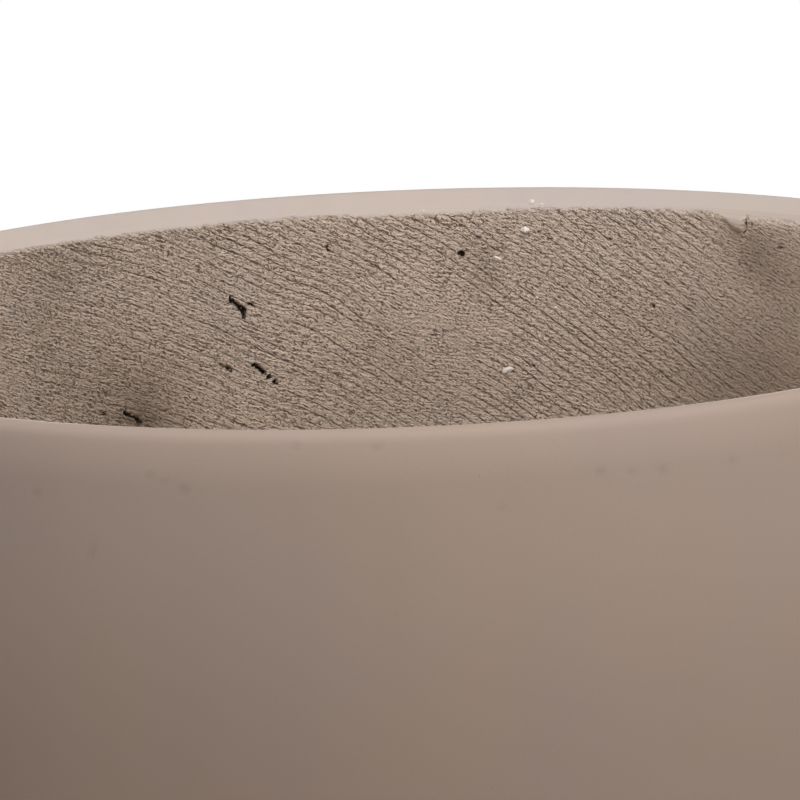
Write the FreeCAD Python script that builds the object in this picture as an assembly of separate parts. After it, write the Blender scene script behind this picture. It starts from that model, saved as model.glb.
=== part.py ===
import FreeCAD, Part
import math
import os

# Cement floor planter: a pot laid up in two coats of cement, with a rubber drain plug and foam foot pads.
# Millimetres, +Z up. The origin is on the floor, on the pot's axis.

# Pot, outside
OVERALL_HEIGHT = 330.0
BELLY_DIAMETER = 380.0
BELLY_HEIGHT = 262.0
WALL_SWEEP_RADIUS = 535.0
BASE_CORNER_RADIUS = 18.0

# Lip: a tight ridge, eased into the outer wall, and a bevel that falls inwards to the mouth
RIDGE_RADIUS = 3.5
EASE_RADIUS = 30.0
EASE_END_ANGLE = 24.0
BEVEL_SLOPE = 38.0
BEVEL_REACH = 30.0

# Face where the smooth coat meets the coarse one
COAT_BELLY_RADIUS = 180.5
COAT_BELLY_HEIGHT = 248.0
COAT_SWEEP_RADIUS = 500.0
COAT_FLOOR_THICKNESS = 10.0
COAT_CORNER_RADIUS = 30.0

# Hollow of the pot
HOLLOW_BELLY_RADIUS = 176.0
HOLLOW_SWEEP_RADIUS = 480.0
FLOOR_THICKNESS = 24.0
HOLLOW_CORNER_RADIUS = 34.0

# Underside and drain
UNDERSIDE_RECESS_RADIUS = 72.0
UNDERSIDE_RECESS_DEPTH = 3.0
UNDERSIDE_RECESS_DRAFT = 4.0
DRAIN_HOLE_DIAMETER = 26.0

# Drain plug
PLUG_CLEARANCE = 0.3
PLUG_TAPER = 1.2
PLUG_TIP_SETBACK = 2.0
PLUG_TIP_ROUND = 1.5
PLUG_FLANGE_DIAMETER = 42.0
PLUG_FLANGE_THICKNESS = 4.0
PLUG_FLANGE_ROUND = 1.5
PLUG_NECK_DIAMETER = 10.0
PLUG_NECK_HEIGHT = 5.0
PLUG_KNOB_DIAMETER = 18.0
PLUG_KNOB_HEIGHT = 6.0
PLUG_KNOB_ROUND = 2.0
PLUG_CORE_DIAMETER = 15.0
PLUG_CORE_DEPTH = 17.0

# Foot pads
PAD_COUNT = 4
PAD_DIAMETER = 36.0
PAD_THICKNESS = 4.0
PAD_EDGE_ROUND = 0.6
PAD_CIRCLE_RADIUS = 94.0
PAD_FIRST_ANGLE = 45.0

BASE_Z = PAD_THICKNESS
COAT_FLOOR_Z = BASE_Z + COAT_FLOOR_THICKNESS
FLOOR_Z = BASE_Z + FLOOR_THICKNESS
ABOVE_RIM = OVERALL_HEIGHT + 10.0
AXIS_POINT = FreeCAD.Vector(0, 0, 0)
AXIS = FreeCAD.Vector(0, 0, 1)


def at(r, z):
    """A point of a half section, at a distance r from the axis and a height z."""
    return FreeCAD.Vector(r, 0, z)


def on_circle(centre, radius, degrees):
    """The point of a circle in the half section where its outward normal has that angle above level."""
    angle = math.radians(degrees)
    return at(centre.x + radius * math.cos(angle), centre.z + radius * math.sin(angle))


def line(start, end):
    return Part.LineSegment(start, end).toShape()


def arc(centre, radius, start, end):
    """The arc of a circle between two normal angles, in degrees."""
    ends = [on_circle(centre, radius, angle) for angle in (start, (start + end) / 2, end)]
    return Part.Arc(*ends).toShape()


def angle_from(centre, point):
    return math.degrees(math.atan2(point.z - centre.z, point.x - centre.x))


def centre_inside(circle_centre, circle_radius, radius, z):
    """Centre, at height z, of a smaller circle that touches a wall circle from inside."""
    reach = circle_radius - radius
    return at(circle_centre.x + math.sqrt(reach**2 - (z - circle_centre.z) ** 2), z)


def revolved(edges):
    """The solid that a closed half section makes round the axis."""
    return Part.Face(Part.Wire(edges)).revolve(AXIS_POINT, AXIS, 360)


def cylinder(radius, low, high):
    return Part.makeCylinder(radius, high - low, FreeCAD.Vector(0, 0, low), AXIS)


def bowl_profile(wall_centre, wall_radius, floor_z, corner_radius, wall_end):
    """Floor line, corner arc and wall arc of a bowl, up to the normal angle wall_end."""
    corner = centre_inside(wall_centre, wall_radius, corner_radius, floor_z + corner_radius)
    corner_end = angle_from(wall_centre, corner)
    return [
        line(at(0, floor_z), at(corner.x, floor_z)),
        arc(corner, corner_radius, -90, corner_end),
        arc(wall_centre, wall_radius, corner_end, wall_end),
    ]


def closed_over(edges, top_z):
    """A bowl's profile closed by a straight neck and a level lid above the rim."""
    floor_z = edges[0].Vertexes[0].Point.z
    wall_top = edges[-1].valueAt(edges[-1].LastParameter)
    lid_edge = at(wall_top.x, top_z)
    return edges + [
        line(wall_top, lid_edge),
        line(lid_edge, at(0, top_z)),
        line(at(0, top_z), at(0, floor_z)),
    ]


def pot_blank():
    """The pot's outer form, solid inside, with the lip's bevel carried on towards the axis."""
    wall = at(BELLY_DIAMETER / 2 - WALL_SWEEP_RADIUS, BELLY_HEIGHT)
    ridge_z = OVERALL_HEIGHT - RIDGE_RADIUS
    ease_arm = EASE_RADIUS - RIDGE_RADIUS
    ease_z = ridge_z - ease_arm * math.sin(math.radians(EASE_END_ANGLE))
    ease = centre_inside(wall, WALL_SWEEP_RADIUS, EASE_RADIUS, ease_z)
    ridge = on_circle(ease, ease_arm, EASE_END_ANGLE)
    wall_end = angle_from(wall, ease)
    bevel_normal = 90 + BEVEL_SLOPE
    bevel_start = on_circle(ridge, RIDGE_RADIUS, bevel_normal)
    bevel_end = bevel_start + FreeCAD.Vector(
        -BEVEL_REACH, 0, -BEVEL_REACH * math.tan(math.radians(BEVEL_SLOPE))
    )
    edges = bowl_profile(wall, WALL_SWEEP_RADIUS, BASE_Z, BASE_CORNER_RADIUS, wall_end)
    edges += [
        arc(ease, EASE_RADIUS, wall_end, EASE_END_ANGLE),
        arc(ridge, RIDGE_RADIUS, EASE_END_ANGLE, bevel_normal),
        line(bevel_start, bevel_end),
        line(bevel_end, at(0, bevel_end.z)),
        line(at(0, bevel_end.z), at(0, BASE_Z)),
    ]
    return revolved(edges)


def top_angle(wall_height, wall_radius):
    """Normal angle at which a wall circle reaches the height of the rim."""
    return math.degrees(math.asin((OVERALL_HEIGHT - wall_height) / wall_radius))


def coarse_core():
    """Everything inside the smooth coat."""
    wall = at(COAT_BELLY_RADIUS - COAT_SWEEP_RADIUS, COAT_BELLY_HEIGHT)
    end = top_angle(COAT_BELLY_HEIGHT, COAT_SWEEP_RADIUS)
    edges = bowl_profile(wall, COAT_SWEEP_RADIUS, COAT_FLOOR_Z, COAT_CORNER_RADIUS, end)
    return revolved(closed_over(edges, ABOVE_RIM))


def pot_hollow():
    """The room inside the pot, open at the mouth."""
    wall = at(HOLLOW_BELLY_RADIUS - HOLLOW_SWEEP_RADIUS, BELLY_HEIGHT)
    end = top_angle(BELLY_HEIGHT, HOLLOW_SWEEP_RADIUS)
    edges = bowl_profile(wall, HOLLOW_SWEEP_RADIUS, FLOOR_Z, HOLLOW_CORNER_RADIUS, end)
    return revolved(closed_over(edges, ABOVE_RIM))


def underside_recess():
    """A shallow drafted dish in the base, which leaves a flat ring for the pads."""
    low, high = BASE_Z, BASE_Z + UNDERSIDE_RECESS_DEPTH
    top_radius = UNDERSIDE_RECESS_RADIUS - UNDERSIDE_RECESS_DRAFT
    return Part.makeCone(
        UNDERSIDE_RECESS_RADIUS, top_radius, high - low, FreeCAD.Vector(0, 0, low), AXIS
    )


def face_shell():
    """Smooth outer coat: the outer face, the ridge of the lip, most of its bevel and the base."""
    drain = cylinder(DRAIN_HOLE_DIAMETER / 2, 0, COAT_FLOOR_Z)
    return pot_blank().cut([coarse_core(), drain, underside_recess()])


def inner_lining():
    """Coarse hand-laid coat: the rough inside wall and floor, thinned out under the lip."""
    drain = cylinder(DRAIN_HOLE_DIAMETER / 2, COAT_FLOOR_Z, FLOOR_Z)
    return pot_blank().common(coarse_core()).cut([pot_hollow(), drain])


def drain_plug():
    """Rubber bung: a pull knob on a flange, over a tapered stem that is cored from below."""
    stem_top = DRAIN_HOLE_DIAMETER / 2 - PLUG_CLEARANCE
    stem_tip = stem_top - PLUG_TAPER
    tip_z = BASE_Z + PLUG_TIP_SETBACK
    flange = PLUG_FLANGE_DIAMETER / 2
    flange_z = FLOOR_Z + PLUG_FLANGE_THICKNESS
    neck = PLUG_NECK_DIAMETER / 2
    neck_z = flange_z + PLUG_NECK_HEIGHT
    knob = PLUG_KNOB_DIAMETER / 2
    knob_z = neck_z + PLUG_KNOB_HEIGHT
    core = PLUG_CORE_DIAMETER / 2
    core_z = tip_z + PLUG_CORE_DEPTH
    corners = [
        (0, core_z),
        (core, core_z),
        (core, tip_z),
        (stem_tip, tip_z),
        (stem_top, FLOOR_Z),
        (flange, FLOOR_Z),
        (flange, flange_z),
        (neck, flange_z),
        (neck, neck_z),
        (knob, neck_z),
        (knob, knob_z),
        (0, knob_z),
    ]
    points = [at(r, z) for r, z in corners]
    ends = points[1:] + points[:1]
    plug = revolved([line(start, end) for start, end in zip(points, ends)])
    rounds = [
        (PLUG_TIP_ROUND, [(stem_tip, tip_z)]),
        (PLUG_FLANGE_ROUND, [(flange, flange_z)]),
        (PLUG_KNOB_ROUND, [(knob, neck_z), (knob, knob_z)]),
    ]
    for radius, places in rounds:
        plug = plug.makeFillet(radius, [rim_edge(plug, r, z) for r, z in places])
    return plug


def rim_edge(solid, radius, z):
    """The round edge of a turned solid at that radius and height."""
    for edge in solid.Edges:
        curve = edge.Curve
        if isinstance(curve, Part.Circle) and math.isclose(curve.Radius, radius, abs_tol=1e-4):
            if math.isclose(curve.Center.z, z, abs_tol=1e-4):
                return edge
    raise ValueError(f"no round edge of radius {radius} at height {z}")


def foam_pad(number):
    """One self-adhesive pad on the base's flat ring, with its free edge rounded."""
    angle = math.radians(PAD_FIRST_ANGLE + number * 360 / PAD_COUNT)
    centre = FreeCAD.Vector(
        PAD_CIRCLE_RADIUS * math.cos(angle), PAD_CIRCLE_RADIUS * math.sin(angle), 0
    )
    pad = Part.makeCylinder(PAD_DIAMETER / 2, PAD_THICKNESS, centre, AXIS)
    return pad.makeFillet(PAD_EDGE_ROUND, [rim_edge(pad, PAD_DIAMETER / 2, 0)])


def all_parts():
    parts = {
        "face_shell": face_shell(),
        "inner_lining": inner_lining(),
        "drain_plug": drain_plug(),
    }
    for number in range(PAD_COUNT):
        parts[f"foam_pad_{number + 1}"] = foam_pad(number)
    return parts


def main():
    os.makedirs("parts", exist_ok=True)
    for name, shape in all_parts().items():
        solids = shape.Solids
        if len(solids) != 1 or not solids[0].isValid():
            raise ValueError(f"{name} is not one valid solid")
        solids[0].exportStep(f"parts/{name}.step")
        print(f"{name}: {solids[0].Volume / 1000:.1f} cm3")


main()
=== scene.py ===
"""Looks of the cement flower pot.

The pot is laid up in two coats: a smooth face coat that carries the lip, and a coarse coat that was
brushed in by hand. Both are turned profiles with the marks of the hand worked into them.
Lengths are metres, +Z is up and the origin is on the floor under the pot's axis. An azimuth is in
degrees round that axis, from +Y towards +X. A drop is the distance down the inside from the edge of
the mouth.
"""

import logging
from dataclasses import dataclass
from enum import Enum
from typing import Any, Callable

import bpy
import numpy as np
from mathutils import Matrix, Vector


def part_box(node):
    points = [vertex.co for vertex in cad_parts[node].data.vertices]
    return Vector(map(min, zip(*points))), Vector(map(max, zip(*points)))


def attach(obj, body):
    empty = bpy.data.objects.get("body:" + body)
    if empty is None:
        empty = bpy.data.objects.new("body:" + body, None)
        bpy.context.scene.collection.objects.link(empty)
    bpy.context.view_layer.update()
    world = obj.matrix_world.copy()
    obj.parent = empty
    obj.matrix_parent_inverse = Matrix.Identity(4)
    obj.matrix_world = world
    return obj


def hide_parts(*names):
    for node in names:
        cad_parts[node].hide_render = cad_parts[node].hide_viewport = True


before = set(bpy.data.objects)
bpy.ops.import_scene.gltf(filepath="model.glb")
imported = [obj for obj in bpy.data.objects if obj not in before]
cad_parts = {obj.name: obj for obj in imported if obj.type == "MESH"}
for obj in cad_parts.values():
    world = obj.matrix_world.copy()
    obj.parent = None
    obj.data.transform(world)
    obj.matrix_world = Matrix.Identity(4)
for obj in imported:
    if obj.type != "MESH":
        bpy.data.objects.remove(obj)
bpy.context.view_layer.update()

log = logging.getLogger("flower_pot")

Array = np.ndarray
Colour = tuple[float, float, float]
Place = tuple[float, float, float]
Flat = tuple[float, float]
Table = tuple[Flat, ...]
Socket = bpy.types.NodeSocket
Tree = bpy.types.NodeTree
Material = bpy.types.Material
Piece = bpy.types.Object

MM = 0.001
PROFILE_STEP = 0.1 * MM
DENSE_SAMPLES = 8001
HASH_FACTORS = (374761393, 668265263, 2147483647)
HASH_MIX = 1274126177
HASH_MASK = 0xFFFFFFFF
GRADIENT_GAIN = 1.25


class Body(Enum):
    """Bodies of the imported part."""

    POT = "pot"
    PLUG = "plug"


class Slot(Enum):
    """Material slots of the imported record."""

    FACE = "cement_face"
    LINING = "cement_lining"
    FOAM = "pad_foam"


class Trait(Enum):
    """Values that a mesh carries on its points for its finish to read."""

    LIP = "lip"
    DENT = "dent"
    ROUGH = "rough"
    TRACK = "track_count"
    SCALE = "scale_count"
    COMBED = "combed"
    COARSE = "coarseness"
    # Patches of painted shade.
    PAINTED_SHADE = "stain"
    POCKET = "pocket"


def hashed(cells: Array, seed: int) -> Array:
    """Repeatable numbers from -1 to 1, one for each lattice corner, mixed from its three whole coordinates.

    Args:
        cells: whole numbers, with the three coordinates on the last axis.
        seed: picks one set of numbers.

    Returns:
        One number per corner.
    """
    mixed = seed * HASH_MIX + sum(cells[..., axis] * factor for axis, factor in enumerate(HASH_FACTORS))
    mixed = mixed & HASH_MASK
    mixed = ((mixed ^ (mixed >> 13)) * HASH_MIX) & HASH_MASK
    mixed = mixed ^ (mixed >> 16)
    return mixed / HASH_MASK * 2 - 1


def noise(points: Array, seed: int) -> Array:
    """Gradient noise of about -1 to 1: each lattice corner slopes its own way, and a quintic fade joins them.

    Args:
        points: places in units of one lattice cell, with three coordinates on the last axis.
        seed: picks one set of slopes.

    Returns:
        One value per place.
    """
    cells = np.floor(points).astype(np.int64)
    inside = points - cells
    fade = inside**3 * (inside * (inside * 6 - 15) + 10)
    total = np.zeros(points.shape[:-1])
    for corner in np.ndindex(2, 2, 2):
        offset = np.array(corner)
        weight = np.prod(np.where(offset == 1, fade, 1 - fade), axis=-1)
        away = inside - offset
        for axis in range(3):
            total += weight * away[..., axis] * hashed(cells + offset, seed * 3 + axis)
    return total * GRADIENT_GAIN


def smooth_step(low: float, high: float, value: Array) -> Array:
    """Goes from 0 at low to 1 at high along 3t^2 - 2t^3."""
    share = np.clip((value - low) / (high - low), 0, 1)
    return share * share * (3 - 2 * share)


def looked_up(table: Table, value: Array) -> Array:
    """Value read from a table of pairs, straight from each pair to the next."""
    return np.interp(value, *zip(*table))


@dataclass(frozen=True)
class Ripple:
    """Noise of one lump size: the size, how much of it there is, and the seed that places it."""

    size: float
    share: float
    seed: int


def rippled(points: Array, *ripples: Ripple) -> Array:
    """Sum of noises at places, each times its share."""
    return sum(ripple.share * noise(points / ripple.size, ripple.seed) for ripple in ripples)


@dataclass(frozen=True)
class Streak:
    """Noise drawn out along strokes: lump sizes along and across them, how much there is, and its seed."""

    along: float
    over: float
    share: float
    seed: int

    def at(self, points: Array, across: Array) -> Array:
        """Noise at places that lie given distances across the strokes."""
        place = np.concatenate([points[..., :2] / self.along, across[..., None] / self.over], axis=-1)
        return self.share * noise(place, self.seed)


def spaced(start: float, end: float, step: Callable[[Array], Array], multiple: int = 1) -> Array:
    """Places from start to end whose spacing follows step: equal shares of the integral of 1 / step.

    Args:
        start: first place.
        end: last place.
        step: the wanted spacing as a function of place.
        multiple: what the number of gaps is a multiple of.

    Returns:
        The places, both ends among them.
    """
    line = np.linspace(start, end, DENSE_SAMPLES)
    middles = (line[1:] + line[:-1]) / 2
    count = np.concatenate([[0], np.cumsum(np.diff(line) / step(middles))])
    gaps = int(np.ceil(count[-1] / multiple)) * multiple
    return np.interp(np.linspace(0, count[-1], gaps + 1), count, line)


def straight(start: Flat, end: Flat) -> Array:
    """Points of a straight run of a half section, close together, without its end."""
    count = max(2, int(np.hypot(end[0] - start[0], end[1] - start[1]) / PROFILE_STEP))
    return np.linspace(start, end, count, endpoint=False)


def round_run(centre: Flat, radius: float, start: float, end: float) -> Array:
    """Points of an arc of a half section between two angles in degrees above level, without its end."""
    count = max(2, int(radius * np.radians(abs(end - start)) / PROFILE_STEP))
    angles = np.radians(np.linspace(start, end, count, endpoint=False))
    return np.stack([centre[0] + radius * np.cos(angles), centre[1] + radius * np.sin(angles)], axis=-1)


def inner_centre(wall: Flat, wall_radius: float, radius: float, z: float) -> Flat:
    """Centre, at height z, of a smaller circle that touches a wall circle from inside."""
    reach = wall_radius - radius
    return wall[0] + float(np.sqrt(reach**2 - (z - wall[1]) ** 2)), z


def angle_of(centre: Flat, point: Flat) -> float:
    """Angle in degrees above level of a point seen from a centre."""
    return float(np.degrees(np.arctan2(point[1] - centre[1], point[0] - centre[0])))


def on_circle(centre: Flat, radius: float, angle: float) -> Flat:
    """Point of a circle at an angle in degrees above level."""
    turn = np.radians(angle)
    return centre[0] + radius * float(np.cos(turn)), centre[1] + radius * float(np.sin(turn))


class TurnedLoop:
    """A closed half section as a dense loop, measured by the distance along it."""

    def __init__(self, runs: list[Array], corner_round: float) -> None:
        """Joins the runs and rounds their corners by a running mean along the loop.

        Args:
            runs: the loop's runs in order, each without its end point.
            corner_round: length of the running mean.
        """
        loop = np.concatenate(runs)
        half = max(1, int(corner_round / PROFILE_STEP / 2))
        padded = np.concatenate([loop[-half:], loop, loop[:half]])
        sums = np.cumsum(np.concatenate([np.zeros((1, 2)), padded]), axis=0)
        window = 2 * half + 1
        self.points = (sums[window:] - sums[:-window]) / window
        ahead = np.roll(self.points, -1, axis=0)
        across = ahead - np.roll(self.points, 1, axis=0)
        tangent = across / np.linalg.norm(across, axis=1, keepdims=True)
        self.normals = np.stack([tangent[:, 1], -tangent[:, 0]], axis=-1)
        gaps = np.linalg.norm(ahead - self.points, axis=1)
        self.along = np.concatenate([[0], np.cumsum(gaps)[:-1]])
        self.length = float(gaps.sum())
        self.starts = self.along[np.cumsum([0] + [len(run) for run in runs[:-1]])]

    def at(self, distance: Array) -> tuple[Array, Array]:
        """Points and outward normals at distances along the loop.

        Args:
            distance: distances from the loop's start.

        Returns:
            The points (radius, height) and the unit normals, one row each.
        """
        pick = [np.interp(distance, self.along, table[:, axis], period=self.length)
                for table in (self.points, self.normals) for axis in (0, 1)]
        return np.stack(pick[:2], axis=-1), np.stack(pick[2:], axis=-1)


def turned_points(section: Array, azimuth: Array) -> Array:
    """Carries a half section round the axis: x = r sin a and y = r cos a.

    Args:
        section: radius and height on the last axis, one row per point of the section or a whole grid.
        azimuth: angles in radians, one per column.

    Returns:
        A grid of places, rows along the section and columns round the axis.
    """
    if section.ndim == 2:
        section = np.repeat(section[:, None, :], len(azimuth), axis=1)
    radius, height = section[..., 0], section[..., 1]
    return np.stack([radius * np.sin(azimuth), radius * np.cos(azimuth), height], axis=-1)


def band_quads(rows: int, columns: int, first: int = 0, closed: bool = False) -> Array:
    """Corner numbers of the quads of a grid that closes round its columns.

    Args:
        rows: rows of the grid.
        columns: columns of the grid.
        first: number of the grid's first point.
        closed: whether the last row joins the first.

    Returns:
        Four corner numbers per quad.
    """
    row, column = np.meshgrid(np.arange(rows if closed else rows - 1), np.arange(columns), indexing="ij")
    below, beside = (row + 1) % rows, (column + 1) % columns
    order = ((row, column), (row, beside), (below, beside), (below, column))
    corners = [line * columns + turn for line, turn in order]
    return np.stack(corners, axis=-1).reshape(-1, 4) + first


def seam_polygons(fine: int, coarse: int, columns: int, ratio: int, fine_first: bool) -> Array:
    """Corner numbers of the polygons between a fine row and a coarse row of every ratio-th column.

    Args:
        fine: number of the fine row's first point.
        coarse: number of the coarse row's first point.
        columns: columns of the fine row.
        ratio: fine columns to each coarse one.
        fine_first: whether the fine row comes before the coarse one.

    Returns:
        The corner numbers, one polygon per coarse column.
    """
    cell = np.arange(columns // ratio)[:, None]
    upper = fine + (cell * ratio + np.arange(ratio + 1)) % columns
    lower = coarse + (cell + np.array([1, 0])) % (columns // ratio)
    polygons = np.concatenate([upper, lower], axis=1)
    return polygons if fine_first else polygons[:, ::-1]


def capped_turn(section: Array, azimuth: Array) -> tuple[Array, list[Array]]:
    """Turns a half section whose two ends lie on the axis: rings between two poles.

    Args:
        section: radius and height, one row per point.
        azimuth: angles in radians, one per column.

    Returns:
        The points, and the polygons as fans at the poles and quads between.
    """
    rings = turned_points(section[1:-1], azimuth)
    points = np.concatenate([[[0, 0, section[0, 1]]], rings.reshape(-1, 3), [[0, 0, section[-1, 1]]]])
    return points, capped_polygons(*rings.shape[:2])


def capped_polygons(rows: int, columns: int) -> list[Array]:
    """Polygons of rings between two poles, where the first and last points are the poles."""
    column = np.arange(columns)
    beside = (column + 1) % columns
    last = 1 + (rows - 1) * columns
    start = np.stack([np.zeros_like(column), 1 + column, 1 + beside], axis=-1)
    end = np.stack([last + column, last + beside, np.full_like(column, last + columns)], axis=-1)
    return [start, band_quads(rows, columns, 1)[:, ::-1], end[:, ::-1]]


def signed_volume(points: Array, polygons: list[Array]) -> float:
    """Volume inside the polygons: a sixth of their fans' triple products, below zero if they face in."""
    total = 0.0
    for corners in polygons:
        hub = points[corners[:, 0]]
        for side in range(1, corners.shape[1] - 1):
            total += float((hub * np.cross(points[corners[:, side]], points[corners[:, side + 1]])).sum())
    return total / 6


def mesh_piece(name: str, points: Array, polygons: list[Array],
               traits: dict[Trait, Array] | None = None) -> Piece:
    """Puts points and polygons into a new smooth-shaded object whose faces point outwards.

    Args:
        name: the piece's name.
        points: one place per row.
        polygons: corner numbers, one array for each number of corners.
        traits: values to keep on the points, by name.

    Returns:
        The object, linked to the scene and placed at the origin.
    """
    if signed_volume(points, polygons) < 0:
        polygons = [corners[:, ::-1] for corners in polygons]
    sizes = np.concatenate([np.full(len(corners), corners.shape[1]) for corners in polygons])
    loops = np.concatenate([corners.ravel() for corners in polygons])
    mesh = bpy.data.meshes.new(name)
    mesh.vertices.add(len(points))
    mesh.vertices.foreach_set("co", points.astype(np.float32).ravel())
    mesh.loops.add(len(loops))
    mesh.loops.foreach_set("vertex_index", loops.astype(np.int32))
    mesh.polygons.add(len(sizes))
    mesh.polygons.foreach_set("loop_start", (np.cumsum(sizes) - sizes).astype(np.int32))
    mesh.polygons.foreach_set("use_smooth", np.ones(len(sizes), dtype=bool))
    mesh.update(calc_edges=True)
    mesh.validate()
    for trait, values in (traits or {}).items():
        layer = mesh.attributes.new(trait.value, "FLOAT", "POINT")
        layer.data.foreach_set("value", values.astype(np.float32).ravel())
    piece = bpy.data.objects.new(name, mesh)
    bpy.context.scene.collection.objects.link(piece)
    return piece


def settle(piece: Piece, body: Body, nodes: tuple[str, ...] = ()) -> None:
    """Hangs a finished piece on its body and the nodes it stands for, and reports it.

    Args:
        piece: the finished object.
        body: the body that it moves with.
        nodes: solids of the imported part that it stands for.
    """
    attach(piece, body.value)
    if nodes:
        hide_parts(*nodes)
    log.info("piece %s: %d faces on %s", piece.name, len(piece.data.polygons), body.value)


class Weave:
    """Adds nodes to one shader tree and wires them as it goes."""

    def __init__(self, tree: Tree) -> None:
        """Keeps the tree that nodes are added to."""
        self.tree = tree

    def feed(self, socket: Socket, value: Any) -> None:
        """Links a socket to an input, or sets the input to a value.

        Args:
            socket: the input.
            value: an output socket, a number or a colour.
        """
        if isinstance(value, Socket):
            self.tree.links.new(value, socket)
        elif isinstance(value, tuple) and socket.type == "RGBA":
            socket.default_value = value + (1.0,)
        else:
            socket.default_value = value

    def add(self, kind: str, sockets: dict[str | int, Any] | None = None, **settings: Any) -> bpy.types.Node:
        """Makes a node, sets its options, and fills or links its inputs.

        Args:
            kind: type of node, without its ShaderNode prefix.
            sockets: values or output sockets, by input name or number.
            settings: options of the node.

        Returns:
            The node.
        """
        node = self.tree.nodes.new("ShaderNode" + kind)
        for option, value in settings.items():
            setattr(node, option, value)
        for key, value in (sockets or {}).items():
            self.feed(node.inputs[key], value)
        return node

    def math(self, operation: str, first: Any, second: Any = 0.0, clamp: bool = False) -> Socket:
        """One step of arithmetic.

        Args:
            operation: name of the operation.
            first: first value or socket.
            second: second value or socket.
            clamp: whether the result is kept between 0 and 1.

        Returns:
            The result's socket.
        """
        return self.add("Math", {0: first, 1: second}, operation=operation, use_clamp=clamp).outputs[0]

    def total(self, *parts: tuple[Any, Any]) -> Socket:
        """Adds up values that are each times a weight.

        Args:
            parts: pairs of a value and its weight, either a number or a socket.

        Returns:
            The sum's socket.
        """
        value, weight = parts[0]
        result = self.math("MULTIPLY", value, weight)
        for value, weight in parts[1:]:
            result = self.add("Math", {0: value, 1: weight, 2: result}, operation="MULTIPLY_ADD").outputs[0]
        return result

    def ramp(self, value: Any, low: float, high: float, start: float = 0.0, end: float = 1.0) -> Socket:
        """Carries a value from low..high to start..end along a smooth step.

        Args:
            value: the value or socket.
            low: where the step starts.
            high: where the step ends.
            start: result at low.
            end: result at high.

        Returns:
            The result's socket.
        """
        sockets = {"Value": value, "From Min": low, "From Max": high, "To Min": start, "To Max": end}
        return self.add("MapRange", sockets, interpolation_type="SMOOTHSTEP").outputs["Result"]

    def blend(self, share: Any, first: Any, second: Any, how: str = "MIX") -> Socket:
        """Mixes two colours.

        Args:
            share: how much of the second is taken, from 0 to 1.
            first: first colour or socket.
            second: second colour or socket.
            how: name of the blend.

        Returns:
            The colour's socket.
        """
        return self.add("Mix", {0: share, 6: first, 7: second}, data_type="RGBA", blend_type=how).outputs[2]

    def trait(self, trait: Trait) -> Socket:
        """Socket of a value that the mesh carries."""
        return self.add("Attribute", attribute_name=trait.value).outputs["Fac"]

    def place(self) -> Socket:
        """Socket of the place on the object, in metres."""
        return self.add("TexCoord").outputs["Object"]

    def stretched(self, place: Any, sizes: Place) -> Socket:
        """Place divided by a size along each axis, so that lumps come out that long."""
        return self.add("VectorMath", {0: place, 1: sizes}, operation="DIVIDE").outputs[0]

    def laid(self, place: Any, stretch: float, count: Any, rise: float) -> Socket:
        """Place whose level axes are divided by a stretch and whose height is a count times a rise.

        Args:
            place: socket of the place.
            stretch: divides the level axes.
            count: socket that grows by one with each step.
            rise: height of one step.

        Returns:
            The new place's socket.
        """
        level = self.add("SeparateXYZ", {0: place}).outputs
        axes = {axis: self.math("DIVIDE", level[axis], stretch) for axis in (0, 1)}
        axes[2] = self.math("MULTIPLY", count, rise)
        return self.add("CombineXYZ", axes).outputs[0]

    def cloud(self, place: Any, size: Any = 1.0, detail: float = 0.0, roughness: float = 0.5) -> Socket:
        """Noise of about 0 to 1 with lumps of a given size.

        Args:
            place: socket of the place.
            size: lump size in metres, or its socket.
            detail: octaves of finer noise.
            roughness: share of each octave in the next.

        Returns:
            The value's socket.
        """
        scale = self.math("DIVIDE", 1.0, size) if isinstance(size, Socket) else 1.0 / size
        sockets = {"Vector": place, "Scale": scale, "Detail": detail, "Roughness": roughness}
        return self.add("TexNoise", sockets).outputs["Fac"]

    def bump(self, height: Any) -> Socket:
        """Normal of a surface raised by a height in metres."""
        return self.add("Bump", {"Strength": 1.0, "Distance": 1.0, "Height": height}).outputs["Normal"]


def node_group(name: str, inputs: dict[str, str], outputs: dict[str, str]) -> tuple[Weave, dict, dict]:
    """Starts a shader node group with named sockets.

    Args:
        name: the group's name.
        inputs: socket kinds by input name.
        outputs: socket kinds by output name.

    Returns:
        A weave on the group's tree, its input sockets by name, and its output sockets by name.
    """
    tree = bpy.data.node_groups.new(name, "ShaderNodeTree")
    for side, sockets in (("INPUT", inputs), ("OUTPUT", outputs)):
        for socket, kind in sockets.items():
            tree.interface.new_socket(socket, in_out=side, socket_type="NodeSocket" + kind)
    start = tree.nodes.new("NodeGroupInput")
    end = tree.nodes.new("NodeGroupOutput")
    return Weave(tree), dict(start.outputs.items()), dict(end.inputs.items())


def cloudy_tone() -> Tree:
    """Group: clouds of two leaning tints over a colour, large ones with small ones inside."""
    weave, given, made = node_group(
        "cloudy_tone",
        {"Place": "Vector", "Colour": "Color", "Warm": "Color", "Cool": "Color",
         "Size": "Float", "Strength": "Float"},
        {"Colour": "Color"},
    )
    clouds = weave.cloud(given["Place"], given["Size"], detail=3.0, roughness=0.5)
    lean = weave.blend(weave.ramp(clouds, 0.34, 0.66), given["Warm"], given["Cool"])
    tinted = weave.blend(1.0, given["Colour"], lean, "MULTIPLY")
    weave.feed(made["Colour"], weave.blend(given["Strength"], given["Colour"], tinted))
    return weave.tree


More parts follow.
